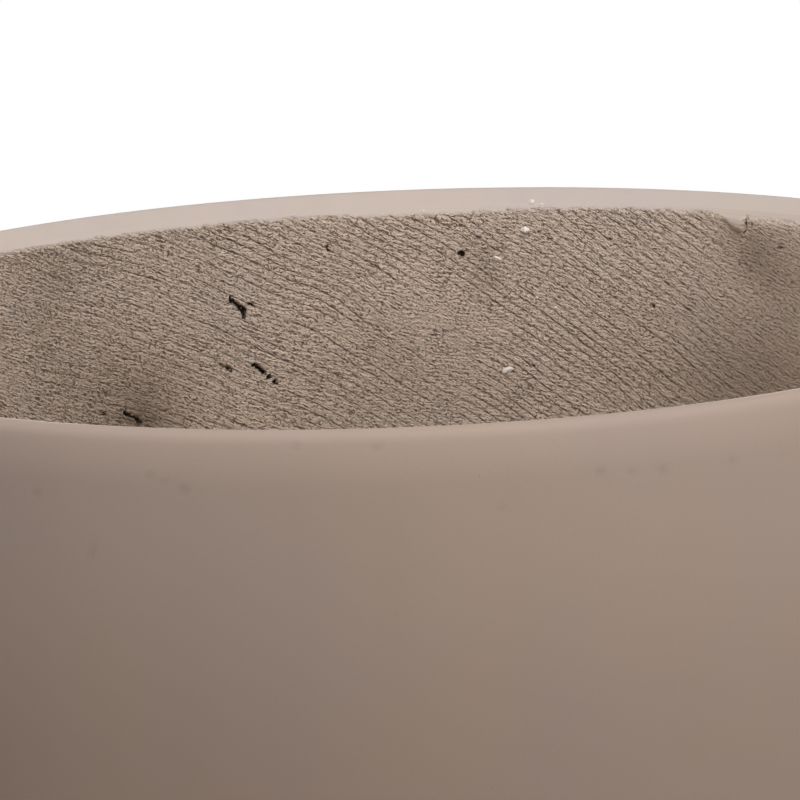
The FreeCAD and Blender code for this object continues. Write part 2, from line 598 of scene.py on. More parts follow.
def sand_grain() -> Tree:
    """Group: height in metres of sand in a binder, lumps with finer ones on them, and its share."""
    weave, given, made = node_group(
        "sand_grain",
        {"Place": "Vector", "Size": "Float", "Depth": "Float"},
        {"Height": "Float", "Share": "Float"},
    )
    lumps = weave.cloud(given["Place"], given["Size"], detail=2.0, roughness=0.6)
    weave.feed(made["Share"], lumps)
    weave.feed(made["Height"], weave.math("MULTIPLY", lumps, given["Depth"]))
    return weave.tree


def pin_holes() -> Tree:
    """Group: sparse round pits, one in some of the cells of a lattice, as a mask from 0 to 1."""
    weave, given, made = node_group(
        "pin_holes",
        {"Place": "Vector", "Spacing": "Float", "Radius": "Float", "Share": "Float"},
        {"Mask": "Float"},
    )
    scale = weave.math("DIVIDE", 1.0, given["Spacing"])
    cells = weave.add("TexVoronoi", {"Vector": given["Place"], "Scale": scale})
    chance = weave.add("SeparateColor", {0: cells.outputs["Color"]}).outputs
    reach = weave.math("MULTIPLY", given["Radius"], weave.math("ADD", 0.4, chance[1]))
    reach = weave.math("DIVIDE", reach, given["Spacing"])
    pit = weave.math("SUBTRACT", 1.0, weave.math("DIVIDE", cells.outputs["Distance"], reach), clamp=True)
    there = weave.math("LESS_THAN", chance[0], given["Share"])
    weave.feed(made["Mask"], weave.math("MULTIPLY", weave.ramp(pit, 0.0, 0.6), there))
    return weave.tree


class Groups:
    """The shader node groups that several finishes share, each built once."""

    def __init__(self) -> None:
        """Builds the groups."""
        self.tone = cloudy_tone()
        self.grain = sand_grain()
        self.holes = pin_holes()

    def use(self, weave: Weave, group: Tree, sockets: dict[str, Any]) -> dict[str, Socket]:
        """Places a group in a finish with that finish's own values.

        Args:
            weave: the finish's weave.
            group: the group.
            sockets: values or sockets by input name.

        Returns:
            The group's output sockets by name.
        """
        return dict(weave.add("Group", sockets, node_tree=group).outputs.items())

    def grained(self, weave: Weave, place: Any, size: float, depth: float) -> dict[str, Socket]:
        """Places the sand group in a finish.

        Args:
            weave: the finish's weave.
            place: socket of the place.
            size: size of the lumps.
            depth: height of the lumps.

        Returns:
            The height and the share of the sand by name.
        """
        return self.use(weave, self.grain, {"Place": place, "Size": size, "Depth": depth})


def new_finish(name: str) -> tuple[Material, Weave, bpy.types.NodeInputs]:
    """Starts a material.

    Args:
        name: the material's name.

    Returns:
        The material, a weave on its tree, and the inputs of its Principled shader.
    """
    material = bpy.data.materials.new(name)
    material.use_nodes = True
    shader = next(node for node in material.node_tree.nodes if node.type == "BSDF_PRINCIPLED")
    return material, Weave(material.node_tree), shader.inputs


@dataclass(frozen=True)
class CementLook:
    """What all the cement shares: its colours, the clouds in them, and the sheen of what was smoothed."""

    face: Colour = (0.288, 0.213, 0.169)
    lip: Colour = (0.580, 0.490, 0.440)
    coarse: Colour = (0.706, 0.566, 0.458)
    warm: Colour = (1.030, 1.000, 0.940)
    cool: Colour = (0.970, 0.975, 1.030)
    # Dark cement tone: the faint runs lean to it, and all painted shade blends to it.
    shade: Colour = (0.200, 0.142, 0.105)
    # Painted shade: near black for the insides of air pockets and pits.
    hole: Colour = (0.045, 0.030, 0.020)
    cloud_size: float = 42 * MM
    cloud_strength: float = 0.4
    sheen_size: float = 14 * MM
    sheen_span: Flat = (0.3, 0.7)
    smoothed: Flat = (0.74, 0.79)
    specular: float = 0.3

    def clouded(self, weave: Weave, groups: Groups, place: Any, colour: Any) -> Socket:
        """Colour with the cement's warm and cool clouds over it.

        Args:
            weave: the finish's weave.
            groups: the shared node groups.
            place: socket of the place.
            colour: the colour or its socket.

        Returns:
            The colour's socket.
        """
        return groups.use(weave, groups.tone, {
            "Place": place, "Colour": colour, "Warm": self.warm, "Cool": self.cool,
            "Size": self.cloud_size, "Strength": self.cloud_strength})["Colour"]

    def sheen(self, weave: Weave, place: Any) -> Socket:
        """Roughness of smoothed cement, which drifts in clouds."""
        return weave.ramp(weave.cloud(place, self.sheen_size), *self.sheen_span, *self.smoothed)


@dataclass(frozen=True)
class SmoothCement:
    """Finish of the face coat: cloudy taupe with faint runs, a lip paler from sanding and painted highlight,
    painted light near the top of the outer wall, sparse pinholes, and painted shade in pinholes and dents.
    """

    look: CementLook = CementLook()
    run_sizes: Place = (17 * MM, 17 * MM, 150 * MM)
    run_span: Flat = (0.45, 0.75)
    run_strength: float = 0.04
    grain_size: float = 0.9 * MM
    grain_depth: float = 0.03 * MM
    hole_spacing: float = 13 * MM
    hole_radius: float = 0.4 * MM
    hole_share: float = 0.14
    hole_depth: float = 0.1 * MM
    # Painted shade in the pinholes and the dents.
    hole_shade: float = 0.2
    dent_shade: float = 0.28

    def material(self, groups: Groups) -> Material:
        """Builds the material.

        Args:
            groups: the shared node groups.

        Returns:
            The material.
        """
        material, weave, shader = new_finish("smooth_cement")
        place = weave.place()
        # The lip share blends to the pale lip tone: sanding, painted highlight on the ridge and painted light on
        # the top of the outer wall.
        sanded_and_highlight = weave.blend(weave.trait(Trait.LIP), self.look.face, self.look.lip)
        tone = self.look.clouded(weave, groups, place, sanded_and_highlight)
        runs = weave.ramp(weave.cloud(weave.stretched(place, self.run_sizes), detail=2.0), *self.run_span)
        tone = weave.blend(weave.math("MULTIPLY", runs, self.run_strength), tone, self.look.shade)
        holes = groups.use(weave, groups.holes, {
            "Place": place, "Spacing": self.hole_spacing, "Radius": self.hole_radius,
            "Share": self.hole_share})["Mask"]
        # Painted shade: the pinholes and the dents are darkened in colour.
        dark = weave.total((holes, self.hole_shade), (weave.trait(Trait.DENT), self.dent_shade))
        grain = groups.grained(weave, place, self.grain_size, self.grain_depth)
        height = weave.total((grain["Height"], 1.0), (holes, -self.hole_depth))
        weave.feed(shader["Base Color"], weave.blend(dark, tone, self.look.shade))
        weave.feed(shader["Roughness"], self.look.sheen(weave, place))
        weave.feed(shader["Normal"], weave.bump(height))
        shader["Specular IOR Level"].default_value = self.look.specular
        return material


@dataclass(frozen=True)
class CoarseCement:
    """Finish of the coarse coat: sand and overlapping steps along the brush, smooth where the lip laps on it,
    with painted shade in recesses, under steps, in air pockets and in patches.
    """

    look: CementLook = CementLook()
    grain_size: float = 0.70 * MM
    grain_depth: float = 0.95 * MM
    grain_stretch: float = 1.3
    # Painted shade in the low parts of the sand.
    grain_lows: Flat = (0.47, 0.31)
    grain_shade: float = 0.85
    ragged_sizes: Flat = (2.0 * MM, 0.85 * MM)
    track_ragged: float = 0.3
    track_spacing: float = 3.9 * MM
    track_depth: float = 0.44 * MM
    track_ends: Flat = (0.92, 0.10)
    track_shade: float = 0.75
    scale_spacing: float = 1.5 * MM
    scale_ragged: float = 1.9
    scale_depth: float = 0.60 * MM
    scale_ends: Flat = (0.86, 0.22)
    # Patches where the painted shade under the scales is deeper.
    deep_shade_size: float = 6 * MM
    deep_shade_span: Flat = (0.50, 0.64)
    deep_shade_strengths: Flat = (0.5, 1.25)
    # Strength of the painted shade in all recesses.
    recess_painted_shade: float = 0.92
    crumb_size: float = 1.0 * MM
    crumb_span: Flat = (0.04, 0.3)
    crumb_push: float = 2.4
    hole_span: Flat = (0.42, 0.58)
    roughness: Flat = (0.82, 0.95)

    def shingle(self, weave: Weave, count: Any, ends: Flat) -> tuple[Socket, Socket]:
        """Steps that overlap: a height that grows along each and falls at its end, and the painted shade at the
        fall and just below it.

        Args:
            weave: the finish's weave.
            count: socket that grows by one with each step.
            ends: share of a step at which it starts to fall, and share of the next that the fall shades.

        Returns:
            Sockets of the height and of the painted shade, both from 0 to 1.
        """
        part = weave.math("FRACT", count)
        fall = weave.ramp(part, ends[0], 1.0)
        height = weave.math("MULTIPLY", part, weave.math("SUBTRACT", 1.0, fall))
        return height, weave.math("MAXIMUM", fall, weave.ramp(part, 0.0, ends[1], 1.0, 0.0))

    def hollowed(self, weave: Weave, place: Any) -> Socket:
        """Share of the painted shade inside air pockets and pits, near black, with a crumbly edge."""
        pocket = weave.trait(Trait.POCKET)
        crumbs = weave.math("SUBTRACT", weave.cloud(place, self.crumb_size, detail=2.0), 0.5)
        crumbs = weave.math("MULTIPLY", crumbs, weave.ramp(pocket, *self.crumb_span, 0.0, self.crumb_push))
        return weave.ramp(weave.math("ADD", pocket, crumbs), *self.hole_span)

    def material(self, groups: Groups) -> Material:
        """Builds the material.

        Args:
            groups: the shared node groups.

        Returns:
            The material.
        """
        material, weave, shader = new_finish("coarse_cement")
        place = weave.place()
        rough, combed, coarse, scale_count, track_count = (weave.trait(trait) for trait in (
            Trait.ROUGH, Trait.COMBED, Trait.COARSE, Trait.SCALE, Trait.TRACK))
        dabs = weave.laid(place, self.grain_stretch, scale_count, self.scale_spacing)
        grain = groups.grained(weave, dabs, self.grain_size, self.grain_depth)
        along, over = self.ragged_sizes
        strokes = weave.laid(place, along, track_count, self.track_spacing / over)
        ragged = weave.math("SUBTRACT", weave.cloud(strokes, detail=1.0), 0.5)
        tracks = weave.total((track_count, 1.0), (ragged, self.track_ragged))
        scales = weave.total((scale_count, 1.0), (ragged, self.scale_ragged))
        track, track_shade = self.shingle(weave, tracks, self.track_ends)
        scale, scale_shade = self.shingle(weave, scales, self.scale_ends)
        height = weave.total((weave.math("MULTIPLY", track, combed), self.track_depth),
                             (scale, self.scale_depth), (grain["Height"], 1.0))
        height = weave.math("MULTIPLY", height, weave.math("MULTIPLY", rough, coarse))

        tone = weave.blend(rough, self.look.lip, self.look.coarse)
        tone = self.look.clouded(weave, groups, place, tone)
        # Painted shade: patches of the wall darkened where shade falls.
        tone = weave.blend(weave.trait(Trait.PAINTED_SHADE), tone, self.look.shade)
        # Patches where the painted shade under the scales is deeper.
        deep_shade = weave.cloud(place, self.deep_shade_size, detail=1.0)
        deep_shade = weave.ramp(deep_shade, *self.deep_shade_span, *self.deep_shade_strengths)
        # Painted shade: the fall of each step and just below it, and the low parts of the sand, darkened in
        # colour; stronger where the coat is coarser.
        low = weave.total((weave.math("MULTIPLY", track_shade, combed), self.track_shade),
                          (scale_shade, deep_shade),
                          (weave.ramp(grain["Share"], *self.grain_lows), self.grain_shade))
        low = weave.math("MINIMUM", weave.math("MULTIPLY", low, coarse), 1.0)
        low = weave.math("MULTIPLY", low, weave.math("MULTIPLY", rough, self.recess_painted_shade))
        tone = weave.blend(low, tone, self.look.shade)
        # Painted shade: air pockets and pits painted near black inside.
        tone = weave.blend(self.hollowed(weave, place), tone, self.look.hole)

        smooth = weave.math("SUBTRACT", 1.0, rough)
        dull = weave.total((weave.ramp(scale, 0.0, 1.0, *self.roughness), rough),
                           (self.look.sheen(weave, place), smooth))
        weave.feed(shader["Base Color"], tone)
        weave.feed(shader["Roughness"], dull)
        weave.feed(shader["Normal"], weave.bump(height))
        shader["Specular IOR Level"].default_value = self.look.specular
        return material


@dataclass(frozen=True)
class PaleQuartz:
    """Finish of the grit that shows in the coarse coat: off-white stone with a little bloom of cement."""

    stone: Colour = (0.88, 0.80, 0.75)
    dusty: Colour = (0.66, 0.56, 0.49)
    speck: float = 0.9 * MM
    dust_span: Flat = (0.48, 0.7)
    roughness: Flat = (0.5, 0.85)

    def material(self) -> Material:
        """Builds the material."""
        material, weave, shader = new_finish("pale_quartz")
        dust = weave.ramp(weave.cloud(weave.place(), self.speck, detail=3.0), *self.dust_span)
        weave.feed(shader["Base Color"], weave.blend(dust, self.stone, self.dusty))
        weave.feed(shader["Roughness"], weave.ramp(dust, 0.0, 1.0, *self.roughness))
        return material


@dataclass(frozen=True)
class MouldedRubber:
    """Finish of the drain plug: black rubber with a dull bloom and a fine moulded skin."""

    black: Colour = (0.022, 0.021, 0.020)
    bloom: Colour = (0.060, 0.057, 0.053)
    bloom_size: float = 9 * MM
    bloom_span: Flat = (0.35, 0.7)
    skin_size: float = 0.35 * MM
    skin_depth: float = 0.03 * MM
    roughness: Flat = (0.42, 0.68)

    def material(self, groups: Groups) -> Material:
        """Builds the material.

        Args:
            groups: the shared node groups.

        Returns:
            The material.
        """
        material, weave, shader = new_finish("moulded_rubber")
        place = weave.place()
        dull = weave.ramp(weave.cloud(place, self.bloom_size, detail=4.0), *self.bloom_span)
        skin = groups.grained(weave, place, self.skin_size, self.skin_depth)
        weave.feed(shader["Base Color"], weave.blend(dull, self.black, self.bloom))
        weave.feed(shader["Roughness"], weave.ramp(dull, 0.0, 1.0, *self.roughness))
        weave.feed(shader["Normal"], weave.bump(skin["Height"]))
        return material


@dataclass(frozen=True)
class CellFoam:
    """Finish of the foot pads: black closed-cell foam with small open cells where it is cut."""

    black: Colour = (0.028, 0.028, 0.030)
    grey: Colour = (0.080, 0.080, 0.085)
    cell_size: float = 0.55 * MM
    cell_depth: float = 0.3 * MM
    grey_span: Flat = (0.35, 0.65)
    dull_span: Flat = (0.3, 0.7)
    roughness: Flat = (0.75, 0.95)

    def material(self, groups: Groups) -> Material:
        """Builds the material.

        Args:
            groups: the shared node groups.

        Returns:
            The material.
        """
        material, weave, shader = new_finish("cell_foam")
        cells = groups.grained(weave, weave.place(), self.cell_size, self.cell_depth)
        grey = weave.ramp(cells["Share"], *self.grey_span)
        weave.feed(shader["Base Color"], weave.blend(grey, self.black, self.grey))
        weave.feed(shader["Roughness"], weave.ramp(cells["Share"], *self.dull_span, *self.roughness))
        weave.feed(shader["Normal"], weave.bump(cells["Height"]))
        return material


@dataclass(frozen=True)
class PotSection:
    """Driving sizes of the pot's half section; the outer reach and height come from the frame."""

    top: float
    base: float
    belly_radius: float
    belly_height: float = 262 * MM
    wall_sweep: float = 535 * MM
    base_corner: float = 18 * MM
    ridge_radius: float = 3.5 * MM
    ease_radius: float = 30 * MM
    ease_end: float = 24.0
    bevel_slope: float = 38.0
    coat_belly_radius: float = 180.5 * MM
    coat_belly_height: float = 248 * MM
    coat_sweep: float = 500 * MM
    coat_floor: float = 10 * MM
    coat_corner: float = 30 * MM
    hollow_belly_radius: float = 176 * MM
    hollow_sweep: float = 480 * MM
    floor: float = 24 * MM
    hollow_corner: float = 34 * MM
    recess_radius: float = 72 * MM
    recess_draft: float = 4 * MM
    recess_depth: float = 3 * MM
    drain_radius: float = 13 * MM

    @classmethod
    def from_frame(cls) -> "PotSection":
        """Section whose height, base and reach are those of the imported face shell."""
        low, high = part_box("face_shell")
        return cls(top=high.z, base=low.z, belly_radius=high.x)

    @property
    def wall(self) -> Flat:
        """Centre of the outer wall's sweep."""
        return self.belly_radius - self.wall_sweep, self.belly_height

    @property
    def coat_wall(self) -> Flat:
        """Centre of the sweep on which the two coats meet."""
        return self.coat_belly_radius - self.coat_sweep, self.coat_belly_height

    @property
    def hollow_wall(self) -> Flat:
        """Centre of the hollow's sweep."""
        return self.hollow_belly_radius - self.hollow_sweep, self.belly_height

    @property
    def ease(self) -> Flat:
        """Centre of the arc that eases the outer wall into the ridge."""
        arm = self.ease_radius - self.ridge_radius
        z = self.top - self.ridge_radius - arm * float(np.sin(np.radians(self.ease_end)))
        return inner_centre(self.wall, self.wall_sweep, self.ease_radius, z)

    @property
    def ridge(self) -> Flat:
        """Centre of the ridge's arc."""
        return on_circle(self.ease, self.ease_radius - self.ridge_radius, self.ease_end)

    @property
    def bevel_start(self) -> Flat:
        """Point where the ridge's arc runs out into the bevel."""
        return on_circle(self.ridge, self.ridge_radius, 90 + self.bevel_slope)

    @property
    def coat_edge(self) -> float:
        """Distance down the bevel at which the two coats meet."""
        return self.bevel_reach(self.coat_wall, self.coat_sweep)

    @property
    def mouth_edge(self) -> float:
        """Distance down the bevel at which it meets the hollow."""
        return self.bevel_reach(self.hollow_wall, self.hollow_sweep)

    def bevel_reach(self, wall: Flat, sweep: float) -> float:
        """Distance down the bevel to a wall circle: the root of a quadratic along the bevel's line.

        Args:
            wall: centre of the wall circle.
            sweep: radius of the wall circle.

        Returns:
            The distance from the bevel's start.
        """
        slope = np.radians(self.bevel_slope)
        offset = np.array(self.bevel_start) - np.array(wall)
        along = -offset @ np.array([np.cos(slope), np.sin(slope)])
        return float(-along - np.sqrt(along**2 - offset @ offset + sweep**2))

    def bevel_point(self, distance: float | Array, sink: float | Array = 0.0) -> Array:
        """Point a distance down the bevel, sunk below it by a depth.

        Args:
            distance: distance from the bevel's start.
            sink: depth square to the bevel.

        Returns:
            The radius and height on the last axis.
        """
        slope = np.radians(self.bevel_slope)
        start_r, start_z = self.bevel_start
        radius = start_r - distance * np.cos(slope) + sink * np.sin(slope)
        return np.stack([radius, start_z - distance * np.sin(slope) - sink * np.cos(slope)], axis=-1)

    def bowl(self, wall: Flat, sweep: float, floor: float, corner: float, top: Flat) -> list[Array]:
        """Wall arc, corner arc and floor line of a bowl, from a top point down to the drain.

        Args:
            wall: centre of the wall's sweep.
            sweep: radius of that sweep.
            floor: height of the floor.
            corner: radius of the corner.
            top: where the wall starts.

        Returns:
            The three runs in that order.
        """
        centre = inner_centre(wall, sweep, corner, floor + corner)
        turn = angle_of(wall, centre)
        return [
            round_run(wall, sweep, angle_of(wall, top), turn),
            round_run(centre, corner, turn, -90),
            straight((centre[0], floor), (self.drain_radius, floor)),
        ]


@dataclass(frozen=True)
class LipLap:
    """How the two coats lie over each other on the bevel: each sinks under the other by a parabola."""

    tangent: float = 1.0 * MM
    spread: float = 4.0 * MM
    depth: float = 0.05 * MM
    lining_lead: float = 2.5 * MM
    face_tail: float = 1.4 * MM
    hidden_drop: float = 4.0 * MM

    def run(self, section: PotSection, start: float, end: float, towards: int) -> Array:
        """Points down the bevel, sunk where the other coat covers them.

        Args:
            section: the pot's section.
            start: first distance down the bevel.
            end: last distance, which is left out.
            towards: 1 where the coat sinks down the bevel, -1 where it sinks up it.

        Returns:
            The run's points.
        """
        distance = np.linspace(start, end, max(2, int((end - start) / PROFILE_STEP)), endpoint=False)
        past = np.clip(towards * (distance - section.coat_edge) + self.tangent, 0, None)
        return section.bevel_point(distance, self.depth * (past / self.spread) ** 2)


@dataclass
class SmoothCoat:
    """Face coat of the pot: outer wall, lip, base and underside, with the hand's slight unevenness."""

    section: PotSection
    lap: LipLap = LipLap()
    finish: SmoothCement = SmoothCement()
    corner_round: float = 1.6 * MM
    near_half_width: float = 29.0
    far_half_width: float = 52.0
    fine_column: float = 1.1 * MM
    far_column: float = 2.2 * MM
    coarse_column: float = 6.0 * MM
    far_blend: float = 14.0
    near_blend: float = 12.0
    waves: tuple[Ripple, ...] = (Ripple(75 * MM, 1.0, 3), Ripple(25 * MM, 0.12, 4))
    wave_depth: float = 0.22 * MM
    dents: tuple[Place, ...] = (
        (-154.6, 315.6, 3.4), (-162.9, 320.9, 2.8), (-163.9, 319.8, 2.4), (-165.2, 318.3, 3.6),
        (-172.6, 327.4, 2.8), (-177.8, 326.8, 3.0), (168.0, 319.2, 3.4), (165.9, 318.6, 2.4),
        (163.8, 318.2, 3.4), (158.8, 318.2, 3.2), (-158.7, 304.5, 3.0), (174.5, 313.5, 2.2),
        (-169.6, 308.0, 2.2),
    )
    dent_depth: float = 0.12 * MM
    crown_share: float = 0.62
    # Pale lip share, rising across the ridge's top: paler from sanding, and a painted highlight where it starts
    # outside the top.
    sanded_and_highlight_span: Flat = (-1.4 * MM, 0.4 * MM)
    sanded_and_highlight_shift: float = 1.6 * MM
    shift_span: Flat = (60, 120)
    shift_ends: Flat = (153, 168)
    shift_at_ends: float = 0.45
    # Painted highlight: a faint paling on the ridge's outer side, widening the highlight on its top.
    crown_highlight: float = 0.05
    crown_highlight_reach: Flat = (5.6 * MM, 1.2 * MM)
    # Painted light: the outer wall is painted paler towards its top, where more light falls.
    painted_top_light: float = 0.11
    painted_top_light_heights: Flat = (250 * MM, 322 * MM)

    def loop(self) -> TurnedLoop:
        """Half section: underside, outer wall, lip, then back down the face it shares with the lining."""
        s = self.section
        corner = inner_centre(s.wall, s.wall_sweep, s.base_corner, s.base + s.base_corner)
        recess = s.base + s.recess_depth
        coat_floor = s.base + s.coat_floor
        joint_z = float(s.bevel_point(s.coat_edge)[1]) - self.lap.hidden_drop
        joint = inner_centre(s.coat_wall, s.coat_sweep, 0.0, joint_z)
        tail = s.coat_edge + self.lap.face_tail
        bowl = s.bowl(s.coat_wall, s.coat_sweep, coat_floor, s.coat_corner, joint)
        runs = [
            straight((s.drain_radius, coat_floor), (s.drain_radius, recess)),
            straight((s.drain_radius, recess), (s.recess_radius - s.recess_draft, recess)),
            straight((s.recess_radius - s.recess_draft, recess), (s.recess_radius, s.base)),
            straight((s.recess_radius, s.base), (corner[0], s.base)),
            round_run(corner, s.base_corner, -90, angle_of(s.wall, corner)),
            round_run(s.wall, s.wall_sweep, angle_of(s.wall, corner), angle_of(s.wall, s.ease)),
            round_run(s.ease, s.ease_radius, angle_of(s.wall, s.ease), s.ease_end),
            round_run(s.ridge, s.ridge_radius, s.ease_end, 90 + s.bevel_slope),
            self.lap.run(s, 0.0, tail, 1),
            straight(tuple(s.bevel_point(tail, self.lap.depth)), joint),
        ]
        return TurnedLoop(runs + bowl, self.corner_round)

    def columns(self) -> Array:
        """Azimuths of the columns in radians: close together on the near side, less so on the far lip."""
        radius = self.section.belly_radius
        far, near = self.far_half_width, 180 - self.near_half_width
        knots = [0, far, far + self.far_blend, near - self.near_blend, near, 180]
        steps = [self.far_column] * 2 + [self.coarse_column] * 2 + [self.fine_column] * 2

        def step(azimuth: Array) -> Array:
            """Spacing in degrees at an azimuth."""
            return np.degrees(np.interp(np.abs(azimuth), knots, steps)) / radius

        return np.radians(spaced(-180, 180, step)[:-1])

    def dent_mask(self, points: Array, outside: Array) -> Array:
        """Depth share of the placed dents: the square of one minus the squared distance in a dent's radii.

        Args:
            points: the grid of places.
            outside: which rows are on the outer face.

        Returns:
            A value from 0 to 1 per place.
        """
        mask = np.zeros(points.shape[:2])
        azimuth = np.arctan2(points[..., 0], points[..., 1])
        radius = np.hypot(points[..., 0], points[..., 1])
        for degrees, height, width in self.dents:
            turn = azimuth - np.radians(degrees)
            away = np.hypot(radius * np.sin(turn), points[..., 2] - height * MM) / (width * MM / 2)
            dent = np.clip(1 - away**2, 0, 1) ** 2
            mask = np.maximum(mask, np.where((np.cos(turn) > 0) & outside[:, None], dent, 0))
        return mask

    def build(self) -> Piece:
        """Works out the coat: the turned section, moved in along its normals by waves and dents."""
        loop = self.loop()
        base, wall, ease, ridge, bevel, hidden = (loop.starts[run] for run in (3, 5, 6, 7, 8, 9))
        end = loop.length
        steps = ((0, 2.5), (base, 5), (wall - 2 * MM, 2.5), (wall + 30 * MM, 6), (ease - 25 * MM, 5),
                 (ease - 6 * MM, 0.8), (ridge, 0.5), (bevel, 0.45), (hidden, 0.6), (hidden + 2 * MM, 1.5),
                 (hidden + 30 * MM, 16), (end - 10 * MM, 16), (end, 3))
        rows = spaced(0, end, lambda place: MM * looked_up(steps, place))[:-1]
        section, normals = loop.at(rows)
        azimuth = self.columns()
        points = turned_points(section, azimuth)
        outside = (smooth_step(0, base, rows) * smooth_step(bevel + 1 * MM, ridge - 6 * MM, rows))[:, None]
        wave = np.clip(0.5 + 0.5 * rippled(points, *self.waves), 0, 1)
        sink = self.wave_depth * wave * outside
        dent = self.dent_mask(points, rows < bevel)
        moved = section[:, None, :] - normals[:, None, :] * (sink + self.dent_depth * dent)[..., None]
        grid = turned_points(moved, azimuth)
        above = rows - ridge - self.crown_share * (bevel - ridge)
        turned = np.abs(np.degrees(azimuth))
        shift = self.shift_at_ends + (1 - self.shift_at_ends) * smooth_step(*self.shift_ends, turned)
        inward = self.sanded_and_highlight_shift * smooth_step(*self.shift_span, turned) * shift
        first, last = self.crown_highlight_reach
        # Painted light: the outer wall paler towards its top.
        lip = self.painted_top_light * smooth_step(*self.painted_top_light_heights, section[:, 1]) * (rows < bevel)
        # Painted highlight: faint paling on the ridge's outer side.
        lip = (lip + self.crown_highlight * smooth_step(-first, -last, above))[:, None]
        # Pale lip from sanding, rising across the ridge's top; outside the top it is a painted highlight.
        lip = np.maximum(lip, smooth_step(*self.sanded_and_highlight_span, above[:, None] - inward[None, :]))
        shape = grid.shape[:2]
        return mesh_piece("smooth_coat", grid.reshape(-1, 3), [band_quads(*shape, closed=True)],
                          {Trait.LIP: lip, Trait.DENT: dent})

    def make(self, groups: Groups) -> None:
        """Builds the coat, dresses it and settles it on the pot.

        Args:
            groups: the shared node groups.
        """
        piece = self.build()
        piece.data.materials.append(self.finish.material(groups))
        settle(piece, Body.POT, ("face_shell",))


@dataclass(frozen=True)
class AirPocket:
    """A slit left by trapped air: azimuth, drop and width of the points down it, and its depth, in mm."""

    path: tuple[Place, ...]
    depth: float = 3.0


@dataclass(frozen=True)
class Swell:
    """A round swelling of the wall in degrees and millimetres, or a hollow if its height is below zero."""

    azimuth: float
    drop: float
    radius: float
    height: float


